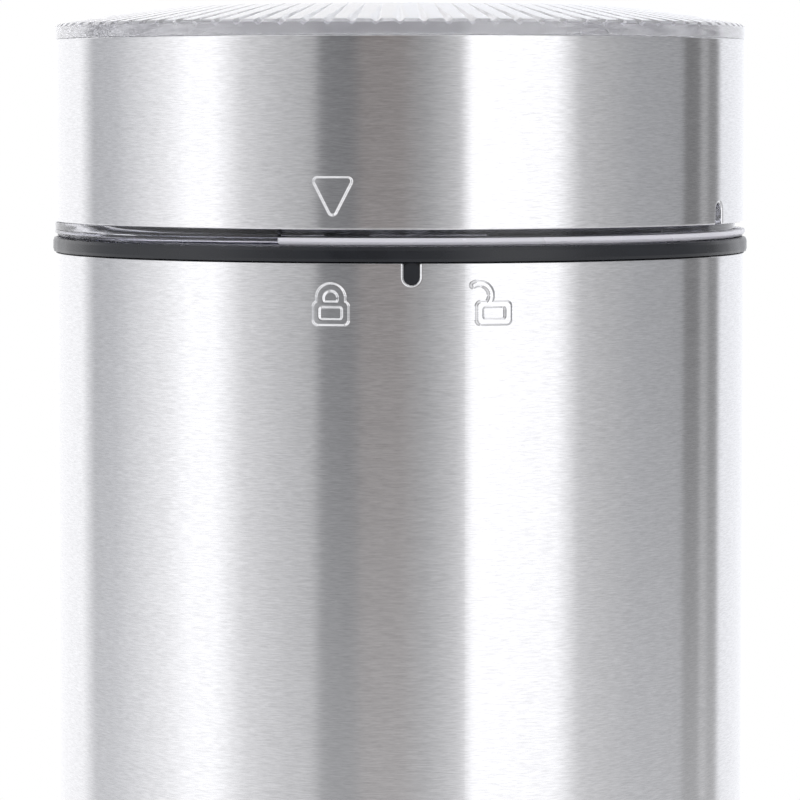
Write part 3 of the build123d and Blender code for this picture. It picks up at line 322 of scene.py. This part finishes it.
def clear(name, colour, low, high, bump, **values):
    """Clear moulded plastic, a little wavy, with faint haze."""
    look = Look(name, **values)
    slow = look.noise((0.12, 0.12, 0.3), 2, 0.5)
    shades = look.ramp(slow, (0.3, tinted(colour, -0.03)), (0.7, tinted(colour, 0.02)))
    look.wire(shades, look.shader, "Base Color")
    look.spread(slow, low, high, "Roughness")
    look.bump(slow, bump)
    return look.material


STEEL = (0.8, 0.8, 0.81)
PLASTIC_IOR = 1.49
glass_like = {"Transmission_Weight": 1.0, "IOR": PLASTIC_IOR}

looks = {
    "steel_shell": brushed_steel("steel_shell", STEEL, 0.13, 0.16, 0.0004, 0.7, 8.0),
    "clear_plastic": clear("clear_plastic", (0.92, 0.92, 0.99), 0.02, 0.06, 0.02, **glass_like),
    "black_plastic": satin("black_plastic", (0.011, 0.013, 0.018), 0.24, 0.34, (0.7, 0.7, 8), 0.006),
    "smoke_plastic": satin("smoke_plastic", (0.035, 0.035, 0.04), 0.12, 0.2, (2, 2, 2), 0.002),
    "frame_plastic": satin("frame_plastic", (0.1, 0.1, 0.105), 0.38, 0.5),
    "ring_plastic": satin("ring_plastic", (0.2, 0.2, 0.21), 0.3, 0.42),
    "gear_plastic": satin("gear_plastic", (0.78, 0.75, 0.66), 0.34, 0.46, bump=0.003),
    "gear_case": satin("gear_case", (0.55, 0.55, 0.57), 0.36, 0.5, (3, 3, 3), 0.012, Metallic=1.0),
    "burr_steel": brushed_steel("burr_steel", (0.42, 0.42, 0.44), 0.2, 0.32, 0.002, 0.3, 5.0),
    "shaft_steel": brushed_steel("shaft_steel", (0.7, 0.7, 0.72), 0.12, 0.2, 0.0008, 0.5, 8.0),
    "screw_steel": satin("screw_steel", (0.5, 0.5, 0.51), 0.22, 0.34, bump=0.002, Metallic=1.0),
    "motor_case": brushed_steel("motor_case", (0.52, 0.53, 0.55), 0.24, 0.34, 0.0015, 0.05, 5.0),
    "magnet": satin("magnet", (0.11, 0.11, 0.12), 0.4, 0.55, (9, 9, 9), 0.008, Metallic=0.4),
    "lamination": brushed_steel("lamination", (0.26, 0.26, 0.28), 0.35, 0.5, 0.02, 0.05, 3.0),
    "copper": satin("copper", (0.62, 0.24, 0.11), 0.2, 0.34, (2, 2, 8), 0.01, Metallic=1.0),
    "sinter": satin("sinter", (0.52, 0.36, 0.17), 0.34, 0.48, (9, 9, 9), 0.008, Metallic=1.0),
    "carbon": satin("carbon", (0.02, 0.02, 0.02), 0.5, 0.62),
    "seal": satin("seal", (0.018, 0.018, 0.019), 0.5, 0.64, (4, 4, 4), 0.008),
    "clear_seal": satin("clear_seal", (0.78, 0.79, 0.82), 0.3, 0.42, bump=0.004,
                        Transmission_Weight=0.5, IOR=1.41),
    "button_black": satin("button_black", (0.012, 0.012, 0.014), 0.24, 0.34, (5, 5, 5), 0.003),
    "bezel": satin("bezel", (0.66, 0.66, 0.67), 0.2, 0.3, (9, 9, 9), 0.001, Metallic=1.0),
    "lens": satin("lens", (0.86, 0.92, 1.0), 0.3, 0.4, bump=0.002, Transmission_Weight=0.6),
    "cell_wrap": satin("cell_wrap", (0.05, 0.24, 0.33), 0.24, 0.34, (0.6, 0.6, 3), 0.006),
    "board": satin("board", (0.01, 0.12, 0.05), 0.24, 0.34, (3, 3, 3), 0.004),
    "port_metal": satin("port_metal", (0.66, 0.66, 0.68), 0.16, 0.26, bump=0.001, Metallic=1.0),
    "wire": satin("wire", (0.45, 0.03, 0.025), 0.34, 0.46),
}

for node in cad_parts.values():
    for holder in node.material_slots:
        slot = holder.material.name.split(".")[0]
        holder.link = "OBJECT"
        holder.material = bpy.data.materials[slot] if slot not in looks else looks[slot]

# ---------------------------------------------------------------- pressed marks


def box_field(u, v, half_u, half_v, radius):
    """Distance to a rectangle with round corners, negative inside."""
    du, dv = np.abs(u) - half_u + radius, np.abs(v) - half_v + radius
    outside = np.hypot(np.maximum(du, 0), np.maximum(dv, 0))
    return outside + np.minimum(np.maximum(du, dv), 0) - radius


def corner_field(u, v, corners, radius):
    """Distance to a convex shape with round corners, whose corners run anticlockwise."""
    inside = np.full(u.shape, -np.inf)
    away = np.full(u.shape, np.inf)
    for (x, y), (ahead_x, ahead_y) in zip(corners, corners[1:] + corners[:1]):
        run = math.hypot(ahead_x - x, ahead_y - y)
        along = ((u - x) * (ahead_x - x) + (v - y) * (ahead_y - y)) / run
        across = ((u - x) * (ahead_y - y) - (v - y) * (ahead_x - x)) / run
        inside = np.maximum(inside, across)
        past = along - np.clip(along, 0, run)
        away = np.minimum(away, np.hypot(past, across))
    return np.where(inside > 0, away, inside) - radius


def arc_field(u, v, radius, half_width, start, sweep):
    """Distance to a bar bent along an arc, with round ends."""
    angle = (np.degrees(np.arctan2(v, u)) - start) % 360
    over = angle > sweep
    ends = [math.radians(start), math.radians(start + sweep)]
    to_end = np.min([np.hypot(u - radius * math.cos(t), v - radius * math.sin(t)) for t in ends], axis=0)
    return np.where(over, to_end, np.abs(np.hypot(u, v) - radius)) - half_width


def padlock_field(u, v, shut):
    """Distance to a padlock with a window, its shackle shut or swung open to the left."""
    body = box_field(u, v - 1.675, 2.2, 1.425, 0.6)
    window = box_field(u, v - 1.69, 1.36, 0.71, 0.3)
    if shut:
        ring = np.abs(np.hypot(u, v - 3.5) - 1.33) - 0.47
        legs = np.maximum(np.abs(np.abs(u) - 1.33) - 0.47, np.abs(v - 3.1) - 0.5)
        shackle = np.minimum(ring, legs)
    else:
        shackle = arc_field(u + 1.8, v - 3.8, 1.46, 0.34, -62, 182)
    return np.maximum(np.minimum(body, shackle), -window)


POINTER = [(-1.85, 1.95), (0, -1.62), (1.85, 1.95)]


def pointer_field(u, v):
    """Distance to a triangle with round corners that points down."""
    return corner_field(u, v, POINTER, 0.5)


def slot_field(u, v, height, round_top):
    """Distance to a key's slot of some height: one end round, the other open."""
    past = np.maximum(v - height + KEY_WIDTH / 2, 0) if round_top else np.minimum(v - KEY_WIDTH / 2, 0)
    return np.hypot(u, past) - KEY_WIDTH / 2


def raised(marks, notches):
    """A bend that lifts a steel wall over the marks and rounds it into the notches."""
    def bend(a, r, z):
        lift = np.zeros(r.shape)
        for azimuth, height, field in marks:
            distance = field(np.radians(a - azimuth) * BODY_R, z - height)
            lift = np.maximum(lift, np.clip(0.5 - distance / MARK_BEVEL, 0, 1))
        sink = np.zeros(r.shape)
        for azimuth, low, round_top in notches:
            distance = slot_field(np.radians(a - azimuth) * BODY_R, z - low, KEY_HEIGHT, round_top)
            sink = np.maximum(sink, np.clip(1 - distance / EDGE_ROUND, 0, 1) ** 1.6)
        return np.where(r > BODY_R - 0.2, r + MARK_RISE * lift - EDGE_SINK * sink, r), z
    return bend


MARK_REACH = 4.6  # degrees of fine mesh each side of a mark
NOTCH_REACH = 2.6
MARK_BELOW, MARK_ABOVE = 3.6, 6.2  # and how far it goes below and above a mark's place
NOTCH_PAST = 0.6


def steel_wall(low, high, marks, notches):
    """Points and faces of a sheet steel wall with soft edges and raised marks, fine where it needs to be."""
    first, last = low + 0.5, high - 0.4
    around = [(azimuth - MARK_REACH, azimuth + MARK_REACH) for azimuth, _, _ in marks]
    around += [(azimuth - NOTCH_REACH, azimuth + NOTCH_REACH) for azimuth, _, _ in notches]
    upward = [(height - MARK_BELOW, height + MARK_ABOVE) for _, height, _ in marks]
    upward += [(max(foot - NOTCH_PAST, first), min(foot + KEY_HEIGHT + NOTCH_PAST, last))
               for _, foot, _ in notches]
    heights = steps_between(first, last, 2.0, 0.07, upward)
    corners = [(BODY_R - SHEET, low, 0.1), (BODY_R, low, 0.16)]
    corners += [(BODY_R, z, 0) for z in heights]
    corners += [(BODY_R, high, 0.16), (BODY_R - SHEET, high, 0.1)]
    azimuths = steps_between(-180, 180, 1.0, 0.085, around)
    return turned(rounded(corners), azimuths, raised(marks, notches))


def notch(target, azimuth, low, high, round_top):
    """Cuts the key's slot: one end round, the other open at the steel's edge."""
    radius = KEY_WIDTH / 2
    height, past = high - low, 2.0
    if round_top:
        arc = [(u, v + height - radius) for u, v in round_points(radius, 25, 0, 180)]
        outline = [(radius, -past)] + arc + [(-radius, -past)]
    else:
        arc = [(u, v + radius) for u, v in round_points(radius, 25, 180, 180)]
        outline = [(-radius, height + past)] + arc + [(radius, height + past)]
    cut(target, "notch", *hole_shape(azimuth, low, outline, BODY_R - past, BODY_R + past))


# ---------------------------------------------------------------- steel shells

padlocks = [
    (MARK_AZIMUTH - LOCK_SHIFT, PADLOCK_FOOT, lambda u, v: padlock_field(u, v, True)),
    (MARK_AZIMUTH + LID_TURN, PADLOCK_FOOT, lambda u, v: padlock_field(u, v, False)),
]
sleeve = piece("sleeve_skin", *steel_wall(sleeve_low, sleeve_high, padlocks,
                                        [(BODY_KEY_AZIMUTH, sleeve_high - KEY_HEIGHT, False)]),
               looks["steel_shell"], "housing", "steel_shell", "body_sleeve")
notch(sleeve, BODY_KEY_AZIMUTH, sleeve_high - KEY_HEIGHT, sleeve_high, round_top=False)
for height, radius, count in ((BUTTON_HEIGHT, BUTTON_HOLE_R, 96), (LENS_HEIGHT, LENS_HOLE_R, 32)):
    cut(sleeve, "hole", *hole_shape(0, height, round_points(radius, count), BODY_R - 5, BODY_R + 5))
port_hole = rounded_box_points(PORT_WIDTH, PORT_TALL, PORT_CORNER)
cut(sleeve, "hole", *hole_shape(180, PORT_HEIGHT, port_hole, BODY_R - 5, BODY_R + 5))

pointer = [(MARK_AZIMUTH, POINTER_HEIGHT, pointer_field)]
band = piece("band_skin", *steel_wall(band_low, band_high, pointer, [(LID_KEY_AZIMUTH, band_low, True)]),
             looks["steel_shell"], "lid", "steel_shell", "lid_band")
notch(band, LID_KEY_AZIMUTH, band_low, band_low + KEY_HEIGHT, round_top=True)

piece("cup_skin", *steel_wall(shell_low, shell_high, [], []),
      looks["steel_shell"], "cup", "steel_shell", "cup_shell")

# ---------------------------------------------------------------- lid cover

FLUTE_DEPTH = 0.45
FLUTE_START_R = 31.0
FLUTE_HALF = 0.62  # half width at the rim
EDGE_R = BODY_R - 0.5
EDGE_TOP = band_high + 1.95
SHOULDER_R = 31.5
SHOULDER_TOP = 207.7
COVER_WALL = 2.2
FLUTE_FLOOR = crown - 3.2  # nothing lower than this is grooved


def shoulder_line(r):
    """Height of the straight shoulder between the dome and the rim."""
    return SHOULDER_TOP + (EDGE_TOP - SHOULDER_TOP) * (r - SHOULDER_R) / (EDGE_R - SHOULDER_R)


dome = [(r, crown - (crown - SHOULDER_TOP) * (r / SHOULDER_R) ** 2, 0)
        for r in np.linspace(0, SHOULDER_R, 16)]
shoulder = [(r, shoulder_line(r), 0) for r in np.linspace(SHOULDER_R, EDGE_R, 14)[1:-1]]
cover_corners = dome + shoulder + [
    (EDGE_R, EDGE_TOP, 0.2),
    (BODY_R, EDGE_TOP - 0.4, 0.2),
    (BODY_R, EDGE_TOP - 0.9, 0),
    (BODY_R, EDGE_TOP - 1.3, 0),
    (BODY_R, band_high + 0.02, 0.1),
    (42.0, band_high + 0.02, 0),
    (42.0, band_high - 5, 0.2),
    (40.2, band_high - 5, 0.2),
    (40.2, band_high - 0.1, 0.3),
    (30.5, SHOULDER_TOP - COVER_WALL, 1.0),
    (0, crown - COVER_WALL, 0),
]


def fluted(a, r, z):
    """Sinks narrow grooves that deepen towards the rim and run out through its edge."""
    pitch = 360 / FLUTES
    phase = (a / pitch + 0.5) % 1 - 0.5
    across = np.abs(phase) * math.radians(pitch) * BODY_R
    depth = FLUTE_DEPTH * np.clip((r - FLUTE_START_R) / (EDGE_R - FLUTE_START_R), 0, 1)
    width = FLUTE_HALF * depth / FLUTE_DEPTH + 1e-6
    groove = depth * np.clip(1 - across / width, 0, 1)
    top_line = np.maximum(shoulder_line(r), EDGE_TOP)
    outer = (z > FLUTE_FLOOR) & (z > top_line - 1.0)
    return r, z - np.where(outer, groove, 0)


flute_phases = np.array([-0.5, -0.35, -0.213, -0.14, -0.07, 0, 0.07, 0.14, 0.213, 0.35])
flute_azimuths = ((np.arange(FLUTES)[:, None] + flute_phases[None, :]) * 360 / FLUTES).ravel()
piece("cover_moulding", *turned(rounded(cover_corners), flute_azimuths, fluted),
      clear("cover_plastic", (0.95, 0.95, 1.0), 0.02, 0.05, 0.01,
            Coat_Weight=1.0, Coat_IOR=1.8, Transmission_Weight=0.84, IOR=PLASTIC_IOR),
      "lid", "clear_plastic", "lid_cover", sharp=25)

# ---------------------------------------------------------------- lid liner

LINER_FOOT = span("lid_liner")[0]
FLANGE_LOW = LINER_FOOT + 8.95
FLANGE_HIGH = band_low - 0.05
LIP_TOP = FLANGE_LOW + 0.85
GROOVE_R = 43.7

liner_corners = [
    (39.4, LINER_FOOT, 0.2),
    (41.0, LINER_FOOT, 0.2),
    (41.0, FLANGE_LOW - 2.95, 0),
    (40.4, FLANGE_LOW - 2.94, 0),
    (40.4, FLANGE_LOW - 1.16, 0),
    (41.0, FLANGE_LOW - 1.15, 0),
    (41.0, FLANGE_LOW, 0.1),
    (44.6, FLANGE_LOW, 0.12),
    (BODY_R, FLANGE_LOW + 0.4, 0.12),
    (BODY_R, LIP_TOP - 0.1, 0),
    (BODY_R - 0.08, LIP_TOP, 0),
    (BODY_R - 0.01, LIP_TOP + 0.02, 0),
    (BODY_R - 0.01, FLANGE_HIGH - 0.02, 0),
    (BODY_R - 0.02, FLANGE_HIGH, 0),
    (44.4, FLANGE_HIGH, 0),
    (44.4, band_high - 0.1, 0),
    (42.2, band_high - 0.1, 0),
    (42.2, FLANGE_HIGH + 2.05, 0.4),
    (39.4, FLANGE_HIGH - 0.95, 0.4),
]


def stepped(a, r, z):
    """Sinks the flange above the lip over half a turn, from the square step."""
    inside = (a - STEP_AZIMUTH) % 360 < 180
    upper = (z > LIP_TOP + 0.01) & (z <= FLANGE_HIGH) & (r > 44.5)
    return np.where(inside & upper, GROOVE_R, r), z


def paint_lip_light(target, look):
    """Paints the lip below the groove a light, milky colour over half a turn: painted light, for the light
    that clear plastic leads to an edge.
    """
    target.data.materials.append(look)
    for face in target.data.polygons:
        x, y, z = face.center / MM
        turn = (math.degrees(math.atan2(x, -y)) - STEP_AZIMUTH) % 360
        if math.hypot(x, y) > GROOVE_R and FLANGE_LOW < z < LIP_TOP + 0.05 and turn < 180:
            face.material_index = 1


liner_azimuths = steps_between(-180, 180, 0.75, 0.05, [(STEP_AZIMUTH - 0.2, STEP_AZIMUTH + 0.2)])
liner = piece("liner_moulding", *turned(rounded(liner_corners), liner_azimuths, stepped),
              looks["clear_plastic"], "lid", "clear_plastic", "lid_liner", sharp=30)


def arc_block(azimuth, sweep, low, high, inner, outer, count=25):
    """A closed block that follows the wall, as points and faces."""
    turns = np.radians(azimuth + np.linspace(-sweep / 2, sweep / 2, count))
    corners = ((inner, low), (outer, low), (outer, high), (inner, high))
    points = [(r * math.sin(t), -r * math.cos(t), z) for t in turns for r, z in corners]
    faces = [[0, 1, 2, 3], [4 * count - 1, 4 * count - 2, 4 * count - 3, 4 * count - 4]]
    for k in range(count - 1):
        faces += [[4 * k + j, 4 * k + (j + 1) % 4, 4 * k + 4 + (j + 1) % 4, 4 * k + 4 + j] for j in range(4)]
    return points, faces


LATCH_LOW, LATCH_HIGH = LINER_FOOT + 2.7, LINER_FOOT + 4.1
for k in range(3):
    dog, latch = MARK_AZIMUTH + 120 * k, MARK_AZIMUTH + 60 + 120 * k
    cut(liner, "dog", *arc_block(dog, 9, LINER_FOOT - 0.2, LINER_FOOT + 2.4, 39.2, 41.2))
    cut(liner, "groove", *arc_block(latch - LID_TURN / 2, LID_TURN + 16,
                                    LATCH_LOW - 0.2, LATCH_HIGH + 0.2, 40.25, 41.3))
    cut(liner, "exit", *arc_block(latch - LID_TURN, 16, LINER_FOOT - 0.2, LATCH_LOW, 40.25, 41.3))

# The lip's light, milky colour is painted light: a mostly opaque copy of the clear plastic that stands in
# for light led along it to its edge.
paint_lip_light(liner, clear("painted_edge_light", (0.94, 0.93, 1.0), 0.15, 0.35, 0.05,
                          Transmission_Weight=0.1, IOR=PLASTIC_IOR))

key_half = KEY_WIDTH / 2 - 0.12
key_arc = [(u, v + KEY_HEIGHT - 0.25 - key_half) for u, v in round_points(key_half, 17, 0, 180)]
key_outline = [(key_half, 0.0)] + key_arc + [(-key_half, 0.0)]
piece("lid_key", *hole_shape(LID_KEY_AZIMUTH, FLANGE_HIGH, key_outline, 44.3, BODY_R - 0.12),
      looks["clear_plastic"], "lid", "clear_plastic")

# ---------------------------------------------------------------- cup foot

NECK_R = 40.9
base_corners = [
    (0, foot_top - 0.8, 0),
    (35.0, foot_top - 0.8, 0.15),
    (35.0, foot_top + 0.02, 0),
    (41.0, foot_top + 0.02, 0),
    (41.0, foot_top - 0.8, 0.15),
    (TRIM_R - 1.2, foot_top - 0.8, 0.4),
    (TRIM_R - 0.25, foot_top + 0.1, 0.3),
    (TRIM_R, 2.8, 0.2),
    (TRIM_R - 0.1, shell_low - 0.02, 0.1),
    (BODY_R - SHEET - 0.05, shell_low - 0.02, 0),
    (BODY_R - SHEET - 0.05, shell_high - 0.1, 0.1),
    (42.9, shell_high - 0.1, 0.1),
    (42.9, 12.0, 0),
    (NECK_R + 0.6, 12.0, 0),
    (NECK_R + 0.6, 4.6, 0),
    (0, 4.6, 0),
]
round_the_body = np.arange(-180, 180, 1.0)
piece("cup_foot", *turned(rounded(base_corners), round_the_body),
      looks["black_plastic"], "cup", "black_plastic", "cup_base")

pad_corners = [(35.1, foot_top, 0), (35.1, 0, 0.4)]
for groove in (36.6, 38.0, 39.4):
    pad_corners += [(groove - 0.25, 0, 0.1), (groove, 0.3, 0.1), (groove + 0.25, 0, 0.1)]
pad_corners += [(40.9, 0, 0.4), (40.9, foot_top, 0)]
piece("foot_ring", *turned(rounded(pad_corners), round_the_body),
      looks["seal"], "cup", "seal", "foot_pad")

# ---------------------------------------------------------------- springs


def coil(radius, wire, length, turns):
    """Points and faces of a round wire wound about Z, from the origin upward."""
    sides, count = 10, int(36 * turns)
    t = np.linspace(0, 1, count)[:, None]
    wind = 2 * math.pi * turns * t
    side = 2 * math.pi * np.arange(sides)[None, :] / sides
    reach = radius + wire * np.cos(side)
    points = np.stack([reach * np.cos(wind), reach * np.sin(wind),
                       wire + (length - 2 * wire) * t + wire * np.sin(side)], -1)
    faces = []
    for k in range(count - 1):
        this, ahead = k * sides, (k + 1) * sides
        for j in range(sides):
            beside = (j + 1) % sides
            faces.append([this + j, this + beside, ahead + beside, ahead + j])
    faces += [list(range(sides)), list(range(count * sides - 1, (count - 1) * sides - 1, -1))]
    return points.reshape(-1, 3), faces


SPRING_LOW, SPRING_HIGH = span("carrier_springs")
SPRING_ORBIT = 32.4
SPRING_START = 60  # azimuth of the first spring
SPRING_WIRE = 0.3  # radius of both springs' wire
spring_points, spring_faces = coil(1.6, SPRING_WIRE, SPRING_HIGH - SPRING_LOW, 6)
all_points, all_faces = [], []
for k in range(3):
    turn = math.radians(SPRING_START + 120 * k)
    offset = (SPRING_ORBIT * math.sin(turn), -SPRING_ORBIT * math.cos(turn), SPRING_LOW)
    all_faces += [[v + len(all_points) for v in face] for face in spring_faces]
    all_points += (spring_points + offset).tolist()
feed_springs = piece("feed_springs", all_points, all_faces, looks["shaft_steel"], "housing", "shaft_steel",
                     "carrier_springs")
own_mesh(feed_springs)

push_low, push_high = span("button_spring", 1)
points, faces = coil(4.4, SPRING_WIRE, push_high - push_low, 3)
points = np.stack([points[:, 0], push_high - points[:, 2], BUTTON_HEIGHT + points[:, 1]], -1)
press_spring = piece("press_spring", points, faces, looks["shaft_steel"], "housing", "shaft_steel",
                     "button_spring")
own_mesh(press_spring)

# ---------------------------------------------------------------- floor, light and camera

FLOOR_R = 0.6
FLOOR_GAP = 0.0003
disc = [(FLOOR_R * math.sin(t), FLOOR_R * math.cos(t), 0) for t in np.linspace(0, 2 * math.pi, 129)[:-1]]
floor_mesh = bpy.data.meshes.new("floor")
floor_mesh.from_pydata(disc, [], [list(range(128, -1, -1))[1:]])
floor = bpy.data.objects.new("floor", floor_mesh)
floor.location.z = -FLOOR_GAP
bpy.context.scene.collection.objects.link(floor)
floor_look = satin("floor_paper", (0.86, 0.86, 0.87), 0.6, 0.7, (0.5, 0.5, 0.5), 0.01, 0.01)
floor_mesh.materials.append(floor_look)
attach(floor, "cup")  # the cup stands on it at every pose, so that the floor never hides the cup

# Mirrored rays pass the floor, so that the steel shows the studio from every side.
floor_nodes, floor_links = floor_look.node_tree.nodes, floor_look.node_tree.links
floor_paths = floor_nodes.new("ShaderNodeLightPath")
floor_mix = floor_nodes.new("ShaderNodeMixShader")
floor_links.new(floor_paths.outputs["Is Glossy Ray"], floor_mix.inputs[0])
floor_links.new(floor_nodes["Principled BSDF"].outputs[0], floor_mix.inputs[1])
floor_links.new(floor_nodes.new("ShaderNodeBsdfTransparent").outputs[0], floor_mix.inputs[2])
floor_links.new(floor_mix.outputs[0], floor_nodes["Material Output"].inputs[0])

# The studio that the steel mirrors: (from, to) azimuths, the light level at both, and a tint.
# Between two of them the light changes evenly.
NEUTRAL, COOL, WARM = (1.0, 1.0, 1.02), (1.0, 1.01, 1.05), (1.06, 0.98, 0.96)
STUDIO = [
    (-180, -131, 0.9, 0.9, NEUTRAL),  # wall behind the object
    (-121, -108, 0.44, 0.49, COOL),  # grey flag at the back left
    (-83, -73, 0.83, 1.04, NEUTRAL),  # left softbox: its soft edge, and its full light up to the next line
    (-63, -52, 1.04, 0.63, NEUTRAL),  # left softbox: its other edge
    (-40, -28.5, 0.48, 0.38, NEUTRAL),  # left wall
    (-25, -16, 0.17, 0.15, COOL),  # black flag beside the camera
    (-11, 0, 0.205, 0.21, WARM),  # dark room behind the camera
    (9, 19.5, 0.3, 0.5, NEUTRAL),  # wall that the right softbox lights
    (23.5, 52, 1.12, 1.02, NEUTRAL),  # right softbox
    (61, 70, 0.49, 0.41, NEUTRAL),  # right wall, near the softbox
    (84, 106, 0.335, 0.305, COOL),  # right wall, far from it
    (108.5, 116, 0.17, 0.175, NEUTRAL),  # black flag
    (118.5, 121.5, 0.34, 0.33, NEUTRAL),  # gap between the flags
    (124, 129, 0.22, 0.23, NEUTRAL),  # dark flag
    (133, 180, 0.76, 0.9, COOL),  # wall behind the object again
]
STUDIO_GAIN = 1.0 / STEEL[0]

world = bpy.data.worlds.new("studio")
bpy.context.scene.world = world
world.use_nodes = True
sky = world.node_tree
sky.nodes.clear()


def sky_node(kind, **settings):
    """A node of the world, with its settings."""
    node = sky.nodes.new(kind)
    for key, value in settings.items():
        setattr(node, key, value)
    return node


def sky_maths(operation, *values):
    """A maths node over sockets and numbers."""
    node = sky_node("ShaderNodeMath", operation=operation)
    for place, value in enumerate(values):
        if isinstance(value, (int, float)):
            node.inputs[place].default_value = value
        else:
            sky.links.new(value, node.inputs[place])
    return node.outputs[0]


def sky_mix(share, first, second):
    """A colour mix of a socket or colour with another."""
    node = sky_node("ShaderNodeMix", data_type="RGBA")
    for place, value in ((0, share), (6, first), (7, second)):
        if isinstance(value, tuple):
            node.inputs[place].default_value = value
        else:
            sky.links.new(value, node.inputs[place])
    return node.outputs[2]


direction = sky_node("ShaderNodeSeparateXYZ")
sky.links.new(sky_node("ShaderNodeTexCoord").outputs["Generated"], direction.inputs[0])
east, north, up = direction.outputs
bearing = sky_maths("ARCTAN2", east, sky_maths("MULTIPLY", north, -1.0))
share_round = sky_maths("MULTIPLY_ADD", bearing, 0.5 / math.pi, 0.5)
panels = sky_node("ShaderNodeValToRGB")
stops = panels.color_ramp.elements
while len(stops) < 2 * len(STUDIO):
    stops.new(0.5)
edges = []
for start, end, first, last, tint in STUDIO:
    edges += [(start, first, tint), (end, last, tint)]
for stop, (azimuth, level, tint) in zip(stops, edges):
    stop.position = azimuth / 360 + 0.5
    stop.color = (*[level * STUDIO_GAIN * share for share in tint], 1)
sky.links.new(share_round, panels.inputs[0])


def sky_share(slope, start, most):
    """A share that changes evenly with a direction's height, held between zero and a most."""
    grown = sky_maths("MULTIPLY_ADD", up, slope, start)
    return sky_maths("MINIMUM", sky_maths("MAXIMUM", grown, 0.0), most)


below = sky_share(-3.2, -0.2, 0.38)
overhead = sky_share(3.0, -1.6, 0.9)
around = sky_mix(below, panels.outputs[0], (1.12, 1.12, 1.14, 1))
around = sky_mix(overhead, around, (1.0, 1.0, 1.02, 1))
paths = sky_node("ShaderNodeLightPath")
straight = sky_maths("MAXIMUM", paths.outputs["Is Camera Ray"], paths.outputs["Is Transmission Ray"])
seen = sky_mix(straight, around, (1, 1, 1, 1))
background = sky_node("ShaderNodeBackground")
sky.links.new(seen, background.inputs["Color"])
sky.links.new(background.outputs[0], sky_node("ShaderNodeOutputWorld").inputs[0])

CAMERA_DISTANCE = 0.563
CAMERA_HEIGHT = 0.195
camera_data = bpy.data.cameras.new("camera")
camera_data.lens = 193.5
camera_data.sensor_width = 36
camera_data.shift_y = -0.05
camera_data.clip_start = 0.01
camera = bpy.data.objects.new("camera", camera_data)
camera.location = Vector((0, -CAMERA_DISTANCE, CAMERA_HEIGHT))
camera.rotation_euler = (math.radians(86.61), 0, 0)
bpy.context.scene.collection.objects.link(camera)
bpy.context.scene.camera = camera
bpy.context.scene.view_settings.view_transform = "Standard"

# Light is led a long way inside the clear lid before it comes out again.
LONG_PATH = 32
for kind in ("max_bounces", "glossy_bounces", "transmission_bounces"):
    setattr(bpy.context.scene.cycles, kind, LONG_PATH)
